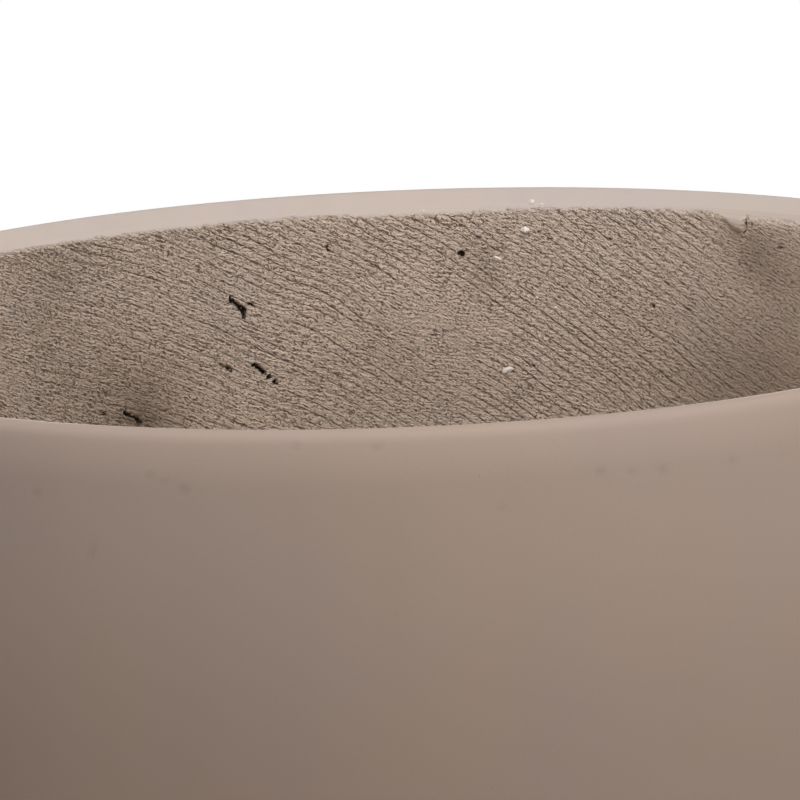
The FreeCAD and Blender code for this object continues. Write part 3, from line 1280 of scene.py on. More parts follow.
@dataclass
class CoarseLining:
    """Coarse coat of the pot: brushed wall and floor, with air pockets and a ragged edge under the lip."""

    section: PotSection
    lap: LipLap = LipLap()
    finish: CoarseCement = CoarseCement()
    corner_round: float = 2.2 * MM
    back_gap: float = 0.15 * MM
    fine_half_width: float = 52.0
    fine_depth: float = 86 * MM
    fine_row: float = 0.67 * MM
    lip_row: float = 0.38 * MM
    fine_column: float = 0.85 * MM
    coarse_column: float = 8.0 * MM
    coarse_ratio: int = 4
    lump_depth: float = 0.45 * MM
    track_depth: float = 0.36 * MM
    scale_depth: float = 0.14 * MM
    grain_depth: float = 0.13 * MM
    fall_start: float = 0.8
    grain: tuple[Ripple, ...] = (Ripple(1.25 * MM, 1.0, 11), Ripple(2.5 * MM, 0.7, 12))
    lumps: tuple[Ripple, ...] = (Ripple(48 * MM, 1.0, 7), Ripple(17 * MM, 0.45, 8))
    level_wander: Ripple = Ripple(40 * MM, 2.5 * MM, 5)
    track_wander: tuple[Ripple, ...] = (Ripple(26 * MM, 0.6, 10), Ripple(5 * MM, 0.10, 17))
    scale_wander: tuple[Ripple, ...] = (Ripple(8 * MM, 0.7, 18), Ripple(3 * MM, 0.3, 19))
    slope_fade: Flat = (260 * MM, 90 * MM)
    slopes: Table = (
        (-180, -0.38), (-130, -0.42), (-80, -0.20), (-56, 0.28), (-44, 0.34), (-36, 0.40), (-26, 0.50),
        (-10, 0.62), (10, 0.68), (30, 0.70), (48, 0.50), (66, 0.15), (100, -0.30), (140, -0.40), (180, -0.38))
    scale_slopes: Table = (
        (-180, -0.16), (-130, -0.18), (-80, -0.08), (-56, 0.44), (-44, 0.52), (-34, 0.52), (-22, 0.46),
        (-10, 0.33), (4, 0.20), (20, 0.20), (34, 0.30), (48, 0.26), (66, 0.06), (100, -0.14), (140, -0.17),
        (180, -0.16))
    coarseness: Table = (
        (-180, 1.0), (-62, 1.0), (-46, 1.6), (-30, 1.5), (-14, 1.4), (10, 1.3), (30, 1.25), (42, 0.9),
        (60, 0.8), (180, 1.0))
    coarse_fade: Flat = (150 * MM, 84 * MM)
    brush_window: tuple[Flat, Flat] = ((-44, 0), (50, 30))
    brush_least: float = 0.35
    brush_mean: float = 0.75
    brush_range: Flat = (0.1, 1.3)
    brush_patch: Ripple = Ripple(30 * MM, 0.5, 6)
    brush_strand: Streak = Streak(26 * MM, 6 * MM, 0.9, 9)
    ledge: Table = (
        (-180, 0.3), (-20, 0.3), (-4, 1.1), (8, 1.2), (14, 0.4), (25, 0.0), (38, 0.2), (44, 0.8), (46, 1.2),
        (50, 1.2), (70, 0.5), (180, 0.3))
    ledge_share: float = 0.8
    ledge_fade: Flat = (30 * MM, 4 * MM)
    lap_edge: Table = (
        (-180, 0.0), (-52, -1.1), (-40, -0.8), (-30, -0.3), (-10, -0.3), (-4, 0.3), (8, 0.3), (13, -0.2),
        (20, -0.4), (30, -0.9), (38, -1.2), (42.6, -1.3), (44, -1.9), (50, -1.9), (56, -1.0), (180, 0.0))
    lap_shift: float = 0.5 * MM
    lap_step: float = 0.32 * MM
    lap_step_fade: Flat = (25 * MM, 4 * MM)
    torn: tuple[Ripple, ...] = (Ripple(7 * MM, 0.8 * MM, 13), Ripple(1.7 * MM, 0.6 * MM, 14))
    torn_strokes: Streak = Streak(6 * MM, 1.3 * MM, 0.6 * MM, 15)
    fullness: Table = (
        (-180, 3.0), (-60, 2.0), (-44, 1.6), (-26, 3.0), (0, 3.6), (25, 3.2), (44, 1.6), (60, 2.0), (180, 3.0))
    fullest_drop: float = 50 * MM
    swell_start: Flat = (-1 * MM, 12 * MM)
    swells: tuple[Swell, ...] = (
        Swell(-3, 17, 16, -0.5), Swell(44.5, 25, 16, -2.0), Swell(-35, 76, 22, -4.2),
        Swell(-21.3, 34.0, 5, 0.45), Swell(-42, 20, 15, -1.5), Swell(-20, 82, 20, 1.4), Swell(1, 40, 24, 1.5),
        Swell(-14, 38, 18, 0.7), Swell(24, 66, 22, -0.5))
    calm_patches: tuple[Swell, ...] = (Swell(3, 46, 26, 0.65), Swell(47, 10, 20, 0.85))
    # Painted shade: patches of the wall darkened in colour for shade under the lip, towards both sides and in
    # the low dent at the left.
    stains: tuple[Swell, ...] = (
        Swell(-33.5, 68, 18, 0.40), Swell(-33.2, 71, 9, 0.34), Swell(9.4, 14, 6, 0.16),
        Swell(10.4, 22, 6, 0.24), Swell(9.8, 30, 6, 0.16), Swell(48, 34, 36, 0.26), Swell(-42, 44, 18, 0.20),
        Swell(42, 64, 28, 0.40), Swell(31, 76, 24, 0.12), Swell(47, 60, 40, 0.10), Swell(44.2, 13, 8, 0.26))
    pockets: tuple[AirPocket, ...] = (
        AirPocket(((-21.5, 27.1, 0.9), (-21.2, 29.0, 1.6), (-20.7, 30.3, 1.0), (-20.2, 31.5, 1.6),
                   (-19.8, 32.8, 2.0), (-19.9, 35.0, 1.3))),
        AirPocket(((-19.3, 30.4, 0.8), (-18.9, 30.7, 0.8)), 2.0),
        AirPocket(((-19.0, 53.0, 1.0), (-18.6, 54.0, 1.5), (-18.2, 54.6, 1.1), (-17.8, 56.6, 1.6))),
        AirPocket(((-17.2, 58.4, 1.3),)),
        AirPocket(((-16.2, 59.2, 0.8),), 2.0),
        AirPocket(((-16.4, 60.7, 1.3),)),
        AirPocket(((-23.2, 51.5, 0.4), (-22.4, 53.3, 0.7), (-21.7, 54.4, 0.4)), 1.5),
        AirPocket(((-35.2, 64.7, 0.7), (-34.8, 65.7, 1.1), (-34.8, 67.4, 0.6)), 1.6),
        AirPocket(((-34.6, 66.1, 0.6), (-34.0, 67.6, 0.7), (-33.5, 68.8, 0.9), (-33.1, 70.4, 0.7)), 1.9),
        AirPocket(((-38.4, 63.0, 0.5), (-37.7, 64.4, 0.6)), 0.9),
        AirPocket(((-9.2, 11.4, 0.9), (-8.9, 13.0, 0.5)), 1.5),
        AirPocket(((43.2, 0.8, 0.5), (43.3, 2.8, 0.8), (43.0, 5.0, 0.5)), 1.1),
    )
    close_pockets: int = 9
    close_width: float = 1.4
    closeness: float = 0.4
    pits: tuple[tuple[float, float, float, float], ...] = (
        (7.1, 16.2, 1.9, 3.0), (7.2, 6.2, 0.6, 1.0), (9.3, 10.2, 0.8, 1.4), (18.0, 10.6, 0.8, 1.4),
        (17.0, 4.6, 0.5, 1.0), (16.8, 8.2, 0.6, 1.0), (11.6, 14.8, 0.8, 1.2), (30.8, 34.5, 1.1, 1.8),
        (15.5, 58.5, 0.9, 1.4), (1.3, 52.0, 0.8, 1.4), (25.4, 11.0, 0.7, 1.2), (47.9, 9.5, 1.0, 1.4),
        (41.1, 16.2, 0.6, 1.0), (42.0, 16.9, 0.5, 1.0), (42.7, 17.0, 0.9, 1.4), (48.8, 15.5, 0.7, 1.0),
        (-25.6, 45.3, 0.8, 1.4),
    )
    deep: float = 1.5
    pocket_rim: float = 0.25 * MM
    # Reach of the painted shade round each pocket.
    pocket_shade: Flat = (0.9 * MM, -0.6 * MM)
    ragged: tuple[Ripple, ...] = (Ripple(1.3 * MM, 0.4 * MM, 21), Ripple(0.7 * MM, 0.24 * MM, 22))
    crooked: tuple[Ripple, Ripple] = (Ripple(2.4 * MM, 0.9 * MM, 23), Ripple(2.4 * MM, 0.9 * MM, 24))
    crust: Ripple = Ripple(3.0 * MM, 0.8 * MM, 25)
    crust_reach: float = 5 * MM
    tongue: Table = (
        (38.6, 0.0), (39.8, 0.5), (40.6, 1.4), (41.2, 3.0), (41.8, 4.4), (42.4, 4.9), (42.9, 4.5), (43.1, 1.6),
        (43.4, 0.0))
    tongue_proud: float = 1.5 * MM
    tongue_round: float = 0.6
    tongue_front: Flat = (2.0 * MM, -1.6 * MM)
    tongue_calm: float = 0.3
    # The tongue takes on more of the rough coat's colour and relief going down.
    tongue_roughening: float = 0.25
    roughening_drop: float = 3 * MM
    least_reach: float = 0.001 * MM
    lap_fade: Table = ((-180, 1.8), (42.6, 1.8), (44, 3.5), (50, 3.5), (60, 1.8), (180, 1.8))
    groove_azimuth: float = 43.2
    groove_width: float = 0.9 * MM
    groove_depth: float = 1.1 * MM
    groove_ends: tuple[Flat, Flat] = ((-1.2 * MM, 0.4 * MM), (5.6 * MM, 3.4 * MM))
    column_blend: float = 14.0
    detail_blends: Flat = (8 * MM, 10.0)
    edge_blends: Flat = (2.0 * MM, 3 * MM)

    def loop(self) -> TurnedLoop:
        """Half section of the coat: end of the bevel, inner wall, floor, drain, then up the face behind."""
        s = self.section
        mouth = tuple(s.bevel_point(s.mouth_edge))
        floor, coat_floor = s.base + s.floor, s.base + s.coat_floor
        joint_z = float(s.bevel_point(s.coat_edge)[1]) - self.lap.hidden_drop
        joint = inner_centre(s.coat_wall, s.coat_sweep - self.back_gap, 0.0, joint_z)
        sweep, under = s.coat_sweep - self.back_gap, coat_floor + self.back_gap
        back = s.bowl(s.coat_wall, sweep, under, s.coat_corner, joint)
        lead = s.coat_edge - self.lap.lining_lead
        runs = [self.lap.run(s, lead, s.mouth_edge, -1)]
        runs += s.bowl(s.hollow_wall, s.hollow_sweep, floor, s.hollow_corner, mouth)
        runs.append(straight((s.drain_radius, floor), (s.drain_radius, coat_floor + self.back_gap)))
        runs += [run[::-1] for run in reversed(back)]
        runs.append(straight(joint, tuple(runs[0][0])))
        return TurnedLoop(runs, self.corner_round)

    def columns(self) -> Array:
        """Azimuths of the columns in radians: close where the far wall is seen, closest at its pockets."""
        radius = self.section.hollow_belly_radius
        close = self.pockets[:self.close_pockets]
        marks = np.array([pocket.path[0][0] for pocket in close] + [self.groove_azimuth])

        def step(azimuth: Array) -> Array:
            """Spacing in degrees at an azimuth."""
            half = self.fine_half_width
            away = smooth_step(half, half + self.column_blend, np.abs(azimuth))
            wide = self.fine_column + (self.coarse_column - self.fine_column) * away
            near = np.exp(-((azimuth[:, None] - marks) / self.close_width) ** 2).max(axis=1)
            return np.degrees(wide * (1 - self.closeness * near)) / radius

        return np.radians(spaced(-180, 180, step, self.coarse_ratio)[:-1])

    def stroke_drift(self, slopes: Table, azimuth: Array) -> Array:
        """How far down a stroke runs by an azimuth: the integral of its slope round the pot, closed.

        Args:
            slopes: azimuths in degrees and the stroke's slope at each.
            azimuth: angles in radians.

        Returns:
            The drop in metres at each angle.
        """
        line = np.linspace(-180, 180, DENSE_SAMPLES)
        slope = looked_up(slopes, line)
        slope = slope - slope[:-1].mean()
        run = np.radians(line[1] - line[0]) * self.section.hollow_belly_radius
        return np.interp(np.degrees(azimuth), line, np.cumsum(slope) * run)

    def outside_of(self, pocket: AirPocket, across: Array, down: Array) -> Array:
        """Distance to a pocket's path less half its width there, so it is below zero inside.

        Args:
            pocket: the pocket.
            across: distances round the wall from azimuth zero.
            down: drops.

        Returns:
            The distance per place.
        """
        stations = np.array(pocket.path)
        beside = self.section.hollow_belly_radius * np.radians(stations[:, 0])
        places = np.stack([beside, stations[:, 1] * MM, stations[:, 2] * MM / 2], axis=-1)
        outside = np.full(across.shape, np.inf)
        for start, end in zip(places, np.concatenate([places[1:], places[-1:]])):
            reach = end[:2] - start[:2]
            over, below = across - start[0], down - start[1]
            part = np.clip((over * reach[0] + below * reach[1]) / max(reach @ reach, MM**3), 0, 1)
            away = np.hypot(over - part * reach[0], below - part * reach[1])
            outside = np.minimum(outside, away - start[2] - part * (end[2] - start[2]))
        return outside

    def pocket_depth(self, azimuth: Array, drop: Array, points: Array) -> tuple[Array, Array]:
        """Air pockets, which noise makes crooked and ragged, with crumbs that stand up round the deep ones.

        Args:
            azimuth: angles of the columns in radians.
            drop: drops of the rows.
            points: the grid of places.

        Returns:
            A share from 0 to 1 of painted shade in the pockets, and a depth in metres per place, below zero on
            the crumbs.
        """
        share, depth, crust = np.zeros((3, *points.shape[:2]))
        ragged = rippled(points, *self.ragged)
        aside, astray = (rippled(points, ripple) for ripple in self.crooked)
        across = self.section.hollow_belly_radius * azimuth[None, :] + aside
        down = drop[:, None] + astray
        crumbs = np.clip(rippled(points, self.crust), 0, None)
        pits = tuple(AirPocket((tuple(pit[:3]),), pit[3]) for pit in self.pits)
        for pocket in self.pockets + pits:
            outside = self.outside_of(pocket, across, down)
            inside = smooth_step(self.pocket_rim, -self.pocket_rim, outside + ragged)
            near = smooth_step(*self.pocket_shade, outside + ragged / 2)
            share = np.maximum(share, near * min(1.0, pocket.depth / self.deep))
            depth = np.maximum(depth, inside * pocket.depth * MM)
            if pocket.depth > self.deep:
                crust = np.maximum(crust, smooth_step(self.crust_reach, 0, outside))
        return share, depth - crumbs * crust * (1 - share)

    def bells(self, swells: tuple[Swell, ...], azimuth: Array, drop: Array) -> Array:
        """Sum of round bells: each its height times the exponential of minus its squared distance in radii.

        Args:
            swells: the bells.
            azimuth: angles of the columns in radians.
            drop: drops of the rows.

        Returns:
            The sum per place, in the unit of the heights.
        """
        total = np.zeros((len(drop), len(azimuth)))
        for swell in swells:
            beside = self.section.hollow_belly_radius * (azimuth[None, :] - np.radians(swell.azimuth))
            away = np.hypot(beside, drop[:, None] - swell.drop * MM) / (swell.radius * MM)
            total += swell.height * np.exp(-(away**2))
        return total

    def swelling(self, azimuth: Array, drop: Array) -> Array:
        """Height of the swellings: each a bell of its radius, on a coat that is laid fullest part way down.

        The fullness is its peak times t times the exponential of half of (1 - t^2), t being the drop over
        the fullest drop.

        Args:
            azimuth: angles of the columns in radians.
            drop: drops of the rows.

        Returns:
            The height in metres per place.
        """
        total = MM * self.bells(self.swells, azimuth, drop)
        share = np.clip(drop, 0, None) / self.fullest_drop
        full = MM * looked_up(self.fullness, np.degrees(azimuth))
        bulge = (share * np.exp((1 - share**2) / 2))[:, None] * full[None, :]
        return total * smooth_step(*self.swell_start, drop)[:, None] + bulge

    def overhang(self, drop: Array, reach: Array) -> Array:
        """How far a ledge stands in: it runs on in line with the bevel and levels off at its reach.

        Args:
            drop: drops of the rows.
            reach: how far the ledge stands in at each column.

        Returns:
            The distance in metres per place: reach times one minus an exponential of the drop.
        """
        kept = np.maximum(reach, self.least_reach)[None, :]
        slope = np.tan(np.radians(self.section.bevel_slope))
        return kept * (1 - np.exp(-np.clip(drop, 0, None)[:, None] / (kept * slope)))

    def lip_edge(self, azimuth: Array, drop: Array, points: Array, across: Array) -> tuple[Array, Array]:
        """Where the lip's smooth lap ends: a torn line with one tongue run down over the wall.

        Args:
            azimuth: angles of the columns in radians.
            drop: drops of the rows.
            points: the grid of places.
            across: distances across the strokes.

        Returns:
            Roughness from 0 on the lap to 1 on the wall, and the height of the lap in metres.
        """
        degrees = np.degrees(azimuth)
        ledge = MM * looked_up(self.ledge, degrees)
        edge = MM * looked_up(self.lap_edge, degrees) + self.ledge_share * ledge
        torn = rippled(points, *self.torn) + self.torn_strokes.at(points, across)
        tongue = MM * looked_up(self.tongue, degrees)
        part = tongue / tongue.max()
        calm = 1 - self.tongue_calm * np.clip(part * 3, 0, 1)
        below = drop[:, None] - (edge + tongue)[None, :]
        fade = MM * looked_up(self.lap_fade, degrees)[None, :]
        rough = smooth_step(0, 1, (below + torn * calm[None, :] + self.lap_shift) / fade)
        # The tongue takes on more of the rough coat's colour and relief going down.
        roughening = self.tongue_roughening * part[None, :] * smooth_step(0, self.roughening_drop, drop)[:, None]
        rough = np.maximum(rough, roughening)
        lap = self.overhang(drop, ledge) * smooth_step(*self.ledge_fade, drop)[:, None]
        front = smooth_step(*self.tongue_front, drop[:, None] - tongue[None, :])
        lap = lap + self.overhang(drop, self.tongue_proud * part**self.tongue_round) * front
        beside = self.section.hollow_belly_radius * np.radians(degrees - self.groove_azimuth)
        cut = np.exp(-((beside / (self.groove_width / 2)) ** 2))[None, :]
        for span in self.groove_ends:
            cut = cut * smooth_step(*span, drop)[:, None]
        step = self.lap_step * rough * smooth_step(*self.lap_step_fade, drop)[:, None]
        return rough, lap - step - self.groove_depth * cut

    def combed(self, azimuth: Array, drop: Array, points: Array, across: Array) -> Array:
        """How strongly the brush shows: in strands and patches, weak at the left and in two calm places.

        Args:
            azimuth: angles of the columns in radians.
            drop: drops of the rows.
            points: the grid of places.
            across: distances across the strokes.

        Returns:
            A share of about 0 to 1.3 per place.
        """
        degrees = np.degrees(azimuth)
        left, right = (smooth_step(*span, degrees) for span in self.brush_window)
        window = self.brush_least + (1 - self.brush_least) * left * right
        calm = self.bells(self.calm_patches, azimuth, drop)
        patches = self.brush_mean + rippled(points, self.brush_patch) + self.brush_strand.at(points, across)
        return window[None, :] * np.clip(patches, *self.brush_range) * (1 - calm)

    def surface(self, loop: TurnedLoop, rows: Array, azimuth: Array) -> tuple[Array, dict[Trait, Array]]:
        """Part of the coat: its section turned, then moved along its normals by the marks of the hand.

        Args:
            loop: the coat's half section.
            rows: distances of the rows along it.
            azimuth: angles of the columns in radians.

        Returns:
            The grid of places and the values that it carries.
        """
        section, normals = loop.at(rows)
        mouth, drain = loop.starts[1], loop.starts[4]
        points = turned_points(section, azimuth)
        drop = rows - mouth
        degrees = np.degrees(azimuth)
        lip_blend, drain_blend = self.edge_blends
        front = smooth_step(0, lip_blend, rows) * smooth_step(drain, drain - drain_blend, rows)
        down_blend, side_blend = self.detail_blends
        half = self.fine_half_width
        fine = (smooth_step(self.fine_depth, self.fine_depth - down_blend, drop)[:, None]
                * smooth_step(half + side_blend, half, np.abs(degrees)))
        settled = smooth_step(*self.slope_fade, drop)[:, None]
        level = drop[:, None] + rippled(points, self.level_wander)
        across, dabs = (level - self.stroke_drift(slopes, azimuth)[None, :] * settled
                        for slopes in (self.slopes, self.scale_slopes))
        coarse = looked_up(self.coarseness, degrees)[None, :]
        coarse = 1 + (coarse - 1) * smooth_step(*self.coarse_fade, drop)[:, None]
        rough, lap = self.lip_edge(azimuth, drop, points, across)
        share, depth = self.pocket_depth(azimuth, drop, points)
        combed = self.combed(azimuth, drop, points, across)
        tracks = across / self.finish.track_spacing + rippled(points, *self.track_wander)
        scales = dabs / self.finish.scale_spacing + rippled(points, *self.scale_wander)
        worked = (self.track_depth * combed * self.shingled(tracks)
                  + self.scale_depth * self.shingled(scales / 2)
                  + self.grain_depth * rippled(points, *self.grain))
        body = self.lump_depth * rippled(points, *self.lumps) + fine * coarse * worked
        lift = rough * body + self.swelling(azimuth, drop) + lap - depth
        moved = section[:, None, :] + normals[:, None, :] * (lift * front[:, None])[..., None]
        traits = {Trait.ROUGH: rough, Trait.TRACK: tracks, Trait.SCALE: scales, Trait.COMBED: combed,
                  Trait.PAINTED_SHADE: self.bells(self.stains, azimuth, drop), Trait.POCKET: share,
                  Trait.COARSE: coarse}
        return turned_points(moved, azimuth), traits

    def shingled(self, count: Array) -> Array:
        """Height of steps that overlap, about zero: it grows along each step and falls over its last part."""
        part = count - np.floor(count)
        return part * (1 - smooth_step(self.fall_start, 1, part)) - self.fall_start / 2

    def build(self) -> Piece:
        """Joins the fine upper band of the coat, which has every column, to the rest, which has fewer."""
        loop = self.loop()
        mouth, corner, drain, back = (loop.starts[run] for run in (1, 2, 4, 5))
        split = mouth + self.fine_depth
        end = loop.length
        near_lip = ((mouth + 7 * MM, self.lip_row), (mouth + 12 * MM, self.fine_row))
        upper = spaced(0, split, lambda place: looked_up(near_lip, place))
        steps = ((split, 1.2), (split + 20 * MM, 5), (corner, 4), (drain - 6 * MM, 4), (drain, 1.5), (back, 2),
                 (back + 20 * MM, 18), (end - 12 * MM, 18), (end, 2))
        lower = spaced(split, end, lambda place: MM * looked_up(steps, place))[1:-1]
        azimuth = self.columns()
        fine, fine_traits = self.surface(loop, upper, azimuth)
        rest, rest_traits = self.surface(loop, lower, azimuth[::self.coarse_ratio])
        points = np.concatenate([fine.reshape(-1, 3), rest.reshape(-1, 3)])
        traits = {trait: np.concatenate([fine_traits[trait].ravel(), rest_traits[trait].ravel()])
                  for trait in fine_traits}
        count, columns = fine.shape[:2]
        few = columns // self.coarse_ratio
        first = count * columns
        polygons = [
            band_quads(count, columns),
            band_quads(len(lower), few, first),
            seam_polygons((count - 1) * columns, first, columns, self.coarse_ratio, True),
            seam_polygons(0, first + (len(lower) - 1) * few, columns, self.coarse_ratio, False),
        ]
        return mesh_piece("coarse_lining", points, polygons, traits)

    def make(self, groups: Groups) -> None:
        """Builds the coat, dresses it and settles it on the pot.

        Args:
            groups: the shared node groups.
        """
        piece = self.build()
        piece.data.materials.append(self.finish.material(groups))
        settle(piece, Body.POT, ("inner_lining",))


@dataclass(frozen=True)
class GritGrain:
    """One pale stone in the lining: its place, its width and height, and its lean in degrees."""

    azimuth: float
    drop: float
    width: float
    height: float
    lean: float = 0.0


@dataclass
class PaleGrit:
    """Pale stones that show in the coarse coat, half sunk in it."""

    section: PotSection
    lining: CoarseLining
    finish: PaleQuartz = PaleQuartz()
    rings: int = 11
    columns: int = 18
    thickness: float = 0.9
    roughened: float = 0.42
    grains: tuple[GritGrain, ...] = (
        GritGrain(15.7, -1.8, 2.3, 2.0), GritGrain(17.0, -1.1, 1.1, 0.9), GritGrain(15.0, 8.0, 3.2, 2.4, 15),
        GritGrain(11.5, 18.3, 3.4, 1.5, 22), GritGrain(12.3, 60.1, 5.6, 2.2, -20),
        GritGrain(2.6, 0.3, 1.2, 0.8), GritGrain(16.2, 32.8, 0.9, 1.1), GritGrain(18.5, 36.4, 1.4, 0.9),
        GritGrain(-75.0, 40.0, 3.0, 2.0, 30), GritGrain(110.0, 25.0, 3.4, 2.2),
        GritGrain(150.0, 70.0, 4.2, 2.6, 40), GritGrain(-140.0, 18.0, 2.6, 2.0),
        GritGrain(-165.0, 95.0, 3.8, 2.4, 10), GritGrain(75.0, 120.0, 3.0, 2.2),
    )

    def grain(self, number: int, place: GritGrain) -> Array:
        """Points of one stone: a ball stretched to its sizes and roughened by noise, sunk in the wall.

        Args:
            number: the stone's number, which picks its noise.
            place: where it is and how large.

        Returns:
            The points, from one pole to the other.
        """
        s = self.section
        polar = np.linspace(0, np.pi, self.rings + 2)[1:-1, None]
        turn = np.linspace(0, 2 * np.pi, self.columns, endpoint=False)[None, :]
        rings = np.stack([np.sin(polar) * np.cos(turn), np.sin(polar) * np.sin(turn),
                          np.cos(polar) * np.ones_like(turn)], axis=-1)
        ball = np.concatenate([[[0, 0, 1.0]], rings.reshape(-1, 3), [[0, 0, -1.0]]])
        ball = ball * (1 + self.roughened * noise(ball * 1.9 + 9.0 * number, 31))[:, None]
        local = ball * np.array([place.width, place.height, self.thickness * place.height]) * MM / 2
        lean = np.radians(place.lean)
        across = local[:, 0] * np.cos(lean) - local[:, 1] * np.sin(lean)
        down = local[:, 0] * np.sin(lean) + local[:, 1] * np.cos(lean)
        mouth = s.bevel_point(s.mouth_edge)
        z = float(mouth[1]) - place.drop * MM
        on_bevel = float(mouth[0]) + (z - float(mouth[1])) / float(np.tan(np.radians(s.bevel_slope)))
        wall = on_bevel if place.drop < 0 else inner_centre(s.hollow_wall, s.hollow_sweep, 0.0, z)[0]
        azimuth = np.radians(place.azimuth) + across / wall
        proud = self.lining.swelling(np.radians([place.azimuth]), np.array([place.drop * MM]))[0, 0]
        radius = wall - proud - local[:, 2]
        return np.stack([radius * np.sin(azimuth), radius * np.cos(azimuth), z - down], axis=-1)

    def make(self) -> None:
        """Builds all the stones as one piece, dresses it and settles it on the pot."""
        stones = np.stack([self.grain(number, place) for number, place in enumerate(self.grains)])
        first = np.arange(len(stones))[:, None, None] * stones.shape[1]
        polygons = [(corners + first).reshape(-1, corners.shape[1])
                    for corners in capped_polygons(self.rings, self.columns)]
        piece = mesh_piece("pale_grit", stones.reshape(-1, 3), polygons)
        piece.data.materials.append(self.finish.material())
        settle(piece, Body.POT)


@dataclass
class DrainPlug:
    """Rubber bung in the drain hole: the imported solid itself, with a rubber finish."""

    finish: MouldedRubber = MouldedRubber()
    node: str = "drain_plug"

    def make(self, groups: Groups) -> None:
        """Dresses the plug.

        Args:
            groups: the shared node groups.
        """
        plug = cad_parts[self.node]
        plug.data.materials.clear()
        plug.data.materials.append(self.finish.material(groups))
        log.info("piece %s: packed solid on %s", plug.name, Body.PLUG.value)


@dataclass
class FootPads:
    """Four foam discs under the base, pressed a little by the pot's weight."""

    finish: CellFoam = CellFoam()
    count: int = 4
    columns: int = 96
    side_rows: int = 13
    face_rows: int = 8
    edge_round: float = 0.6 * MM
    edge_share: float = 0.15
    waist: float = 0.25 * MM

    def section(self, radius: float, height: float) -> Array:
        """Half section of a pad: flat faces, a rounded lower edge, and a side drawn in as a squared sine.

        Args:
            radius: the pad's radius.
            height: the pad's height.

        Returns:
            The radius and height of its points, from the axis below to the axis above.
        """
        side = np.linspace(0, 1, self.side_rows)
        edge = np.clip(1 - side / self.edge_share, 0, 1) ** 2
        drawn = radius - self.waist * np.sin(np.pi * side) ** 2 - self.edge_round * edge
        inner = np.linspace(0, radius - self.edge_round, self.face_rows, endpoint=False)
        return np.concatenate([
            np.stack([inner, np.zeros_like(inner)], axis=-1),
            np.stack([drawn, side * height], axis=-1),
            np.stack([inner[::-1], np.full_like(inner, height)], axis=-1),
        ])

    def pad(self, number: int) -> Piece:
        """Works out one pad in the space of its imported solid.

        Args:
            number: the pad's number, from 1.

        Returns:
            The pad's object.
        """
        low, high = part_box(f"foam_pad_{number}")
        turn = np.linspace(0, 2 * np.pi, self.columns, endpoint=False)
        points, polygons = capped_turn(self.section((high.x - low.x) / 2, high.z - low.z), turn)
        middle = np.array([(low.x + high.x) / 2, (low.y + high.y) / 2, low.z])
        return mesh_piece(f"foot_pad_{number}", points + middle, polygons)

    def make(self, groups: Groups) -> None:
        """Builds the pads, dresses them and settles them on the pot.

        Args:
            groups: the shared node groups.
        """
        foam = self.finish.material(groups)
        for number in range(1, self.count + 1):
            piece = self.pad(number)
            piece.data.materials.append(foam)
            settle(piece, Body.POT, (f"foam_pad_{number}",))


@dataclass
class PhotoCamera:
    """Camera close in front of the pot, a little above its rim, tilted down and rolled slightly."""

    place: Place = (0.0, -0.6229, 0.43935)
    pitch: float = 13.19
    yaw: float = -0.24
    roll: float = -2.33
    focal_pixels: float = 2200.0
    image_pixels: float = 800.0
    sensor: float = 36.0

    def make(self) -> None:
        """Puts the camera in place and makes it the scene's."""
        pitch, yaw, roll = np.radians([self.pitch, self.yaw, self.roll])
        ahead = np.array([np.sin(yaw) * np.cos(pitch), np.cos(yaw) * np.cos(pitch), -np.sin(pitch)])
        level = np.array([np.cos(yaw), -np.sin(yaw), 0.0])
        above = np.cross(level, ahead)
        right = np.cos(roll) * level + np.sin(roll) * above
        up = -np.sin(roll) * level + np.cos(roll) * above
        data = bpy.data.cameras.new("photo_camera")
        data.sensor_width = self.sensor
        data.lens = self.focal_pixels / self.image_pixels * self.sensor
        data.clip_start = 0.01
        camera = bpy.data.objects.new("photo_camera", data)
        axes = Matrix([right, up, -ahead]).transposed().to_4x4()
        camera.matrix_world = Matrix.Translation(Vector(self.place)) @ axes
        bpy.context.scene.collection.objects.link(camera)
        bpy.context.scene.camera = camera


@dataclass(frozen=True)
class Softbox:
    """A square lamp: where it stands, what it points at, its side and its power."""

    name: str
    place: Place
    aim: Place
    side: float
    power: float


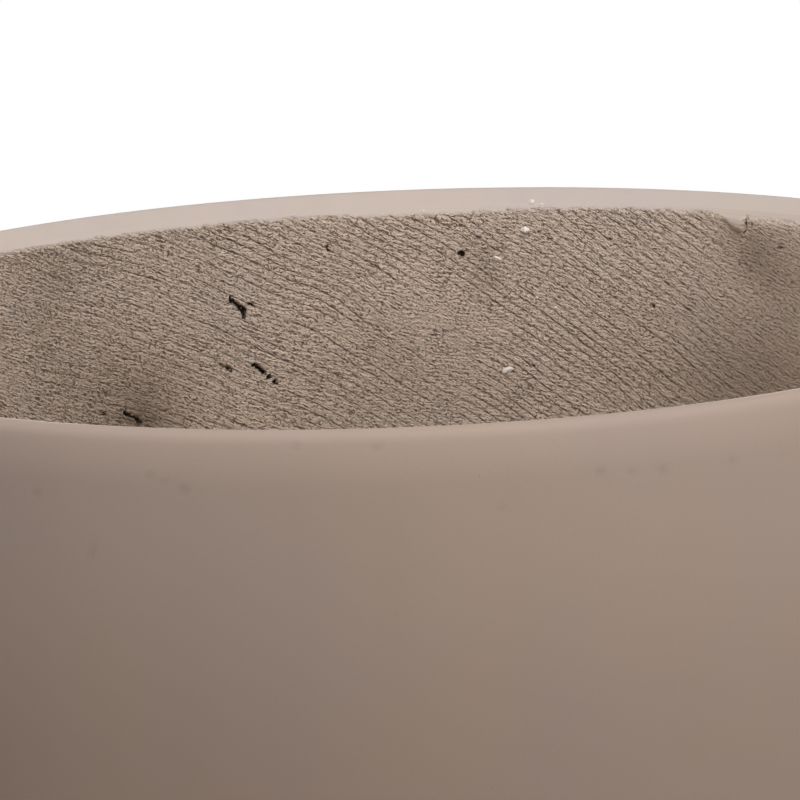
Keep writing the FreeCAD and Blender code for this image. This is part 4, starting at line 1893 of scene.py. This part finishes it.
@dataclass
class Studio:
    """Plain soft light, a pale floor and a white surround."""

    boxes: tuple[Softbox, ...] = (
        Softbox("key", (0.07, -0.33, 0.98), (0.0, 0.0, 0.3), 0.7, 6.3),
        Softbox("front", (0.08, -1.25, 0.47), (0.0, 0.0, 0.3), 0.35, 3.5),
        Softbox("low_right", (1.6, -0.45, 0.165), (0.0, 0.0, 0.2), 0.3, 7.8),
    )
    ambient: float = 0.15
    floor_radius: float = 2.4
    floor_rings: int = 24
    floor_columns: int = 96
    floor_colour: Colour = (0.56, 0.555, 0.55)
    floor_drop: float = 0.2 * MM
    floor_thickness: float = 5 * MM
    fade: tuple[float, float] = (0.75, 1.5)

    def light(self) -> None:
        """Hangs the lamps."""
        for box in self.boxes:
            data = bpy.data.lights.new(box.name, "AREA")
            data.shape = "SQUARE"
            data.size = box.side
            data.energy = box.power
            lamp = bpy.data.objects.new(box.name, data)
            lamp.location = box.place
            heading = Vector(box.aim) - Vector(box.place)
            lamp.rotation_euler = heading.to_track_quat("-Z", "Y").to_euler()
            lamp.visible_camera = False
            bpy.context.scene.collection.objects.link(lamp)

    def seen(self, weave: Weave) -> Socket:
        """One for what the camera, a gloss or a clear body sees, and zero for the light on the object."""
        rays = weave.add("LightPath").outputs
        direct = weave.math("MAXIMUM", rays["Is Camera Ray"], rays["Is Glossy Ray"])
        return weave.math("MAXIMUM", direct, rays["Is Transmission Ray"])

    def surround(self) -> None:
        """Makes the world: white to look at, a soft grey as light."""
        world = bpy.data.worlds.new("studio")
        world.use_nodes = True
        bpy.context.scene.world = world
        weave = Weave(world.node_tree)
        background = next(node for node in world.node_tree.nodes if node.type == "BACKGROUND")
        weave.feed(background.inputs["Strength"], weave.ramp(self.seen(weave), 0.0, 1.0, self.ambient, 1.0))
        weave.feed(background.inputs["Color"], (1.0, 1.0, 1.0))

    def floor(self) -> None:
        """Lays a round pale floor that turns to the surround's white away from the pot."""
        turn = np.linspace(0, 2 * np.pi, self.floor_columns, endpoint=False)
        reach = np.linspace(0, 1, self.floor_rings) ** 1.5 * self.floor_radius
        top = np.stack([reach, np.full_like(reach, -self.floor_drop)], axis=-1)
        under = np.array([[self.floor_radius, 0.0], [0.0, 0.0]]) - [0, self.floor_drop + self.floor_thickness]
        points, polygons = capped_turn(np.concatenate([top, under]), turn)
        piece = mesh_piece("studio_floor", points, polygons)
        material, weave, shader = new_finish("pale_floor")
        place = weave.place()
        away = weave.add("VectorMath", {0: place}, operation="LENGTH").outputs["Value"]
        far = weave.math("MULTIPLY", weave.ramp(away, *self.fade), self.seen(weave))
        tone = weave.ramp(weave.cloud(place, 0.02, detail=4.0), 0.2, 0.8, 0.98, 1.02)
        weave.feed(shader["Base Color"], weave.blend(1.0, self.floor_colour, tone, "MULTIPLY"))
        shader["Roughness"].default_value = 0.9
        shader["Specular IOR Level"].default_value = 0.1
        white = weave.add("Emission", {"Color": (1.0, 1.0, 1.0), "Strength": 1.0})
        end = next(node for node in weave.tree.nodes if node.type == "OUTPUT_MATERIAL")
        body = end.inputs["Surface"].links[0].from_socket
        mixed = weave.add("MixShader", {0: far, 1: body, 2: white.outputs[0]})
        weave.feed(end.inputs["Surface"], mixed.outputs[0])
        piece.data.materials.append(material)

    def make(self) -> None:
        """Sets up the light, the surround and the floor."""
        self.light()
        self.surround()
        self.floor()
        bpy.context.scene.view_settings.view_transform = "Standard"


def main() -> None:
    """Builds the camera, the studio and every piece in order."""
    logging.basicConfig(level=logging.INFO, format="%(message)s")
    PhotoCamera().make()
    Studio().make()
    groups = Groups()
    section = PotSection.from_frame()
    SmoothCoat(section).make(groups)
    lining = CoarseLining(section)
    lining.make(groups)
    PaleGrit(section, lining).make()
    DrainPlug().make(groups)
    FootPads().make(groups)


if __name__ == "__main__":
    main()
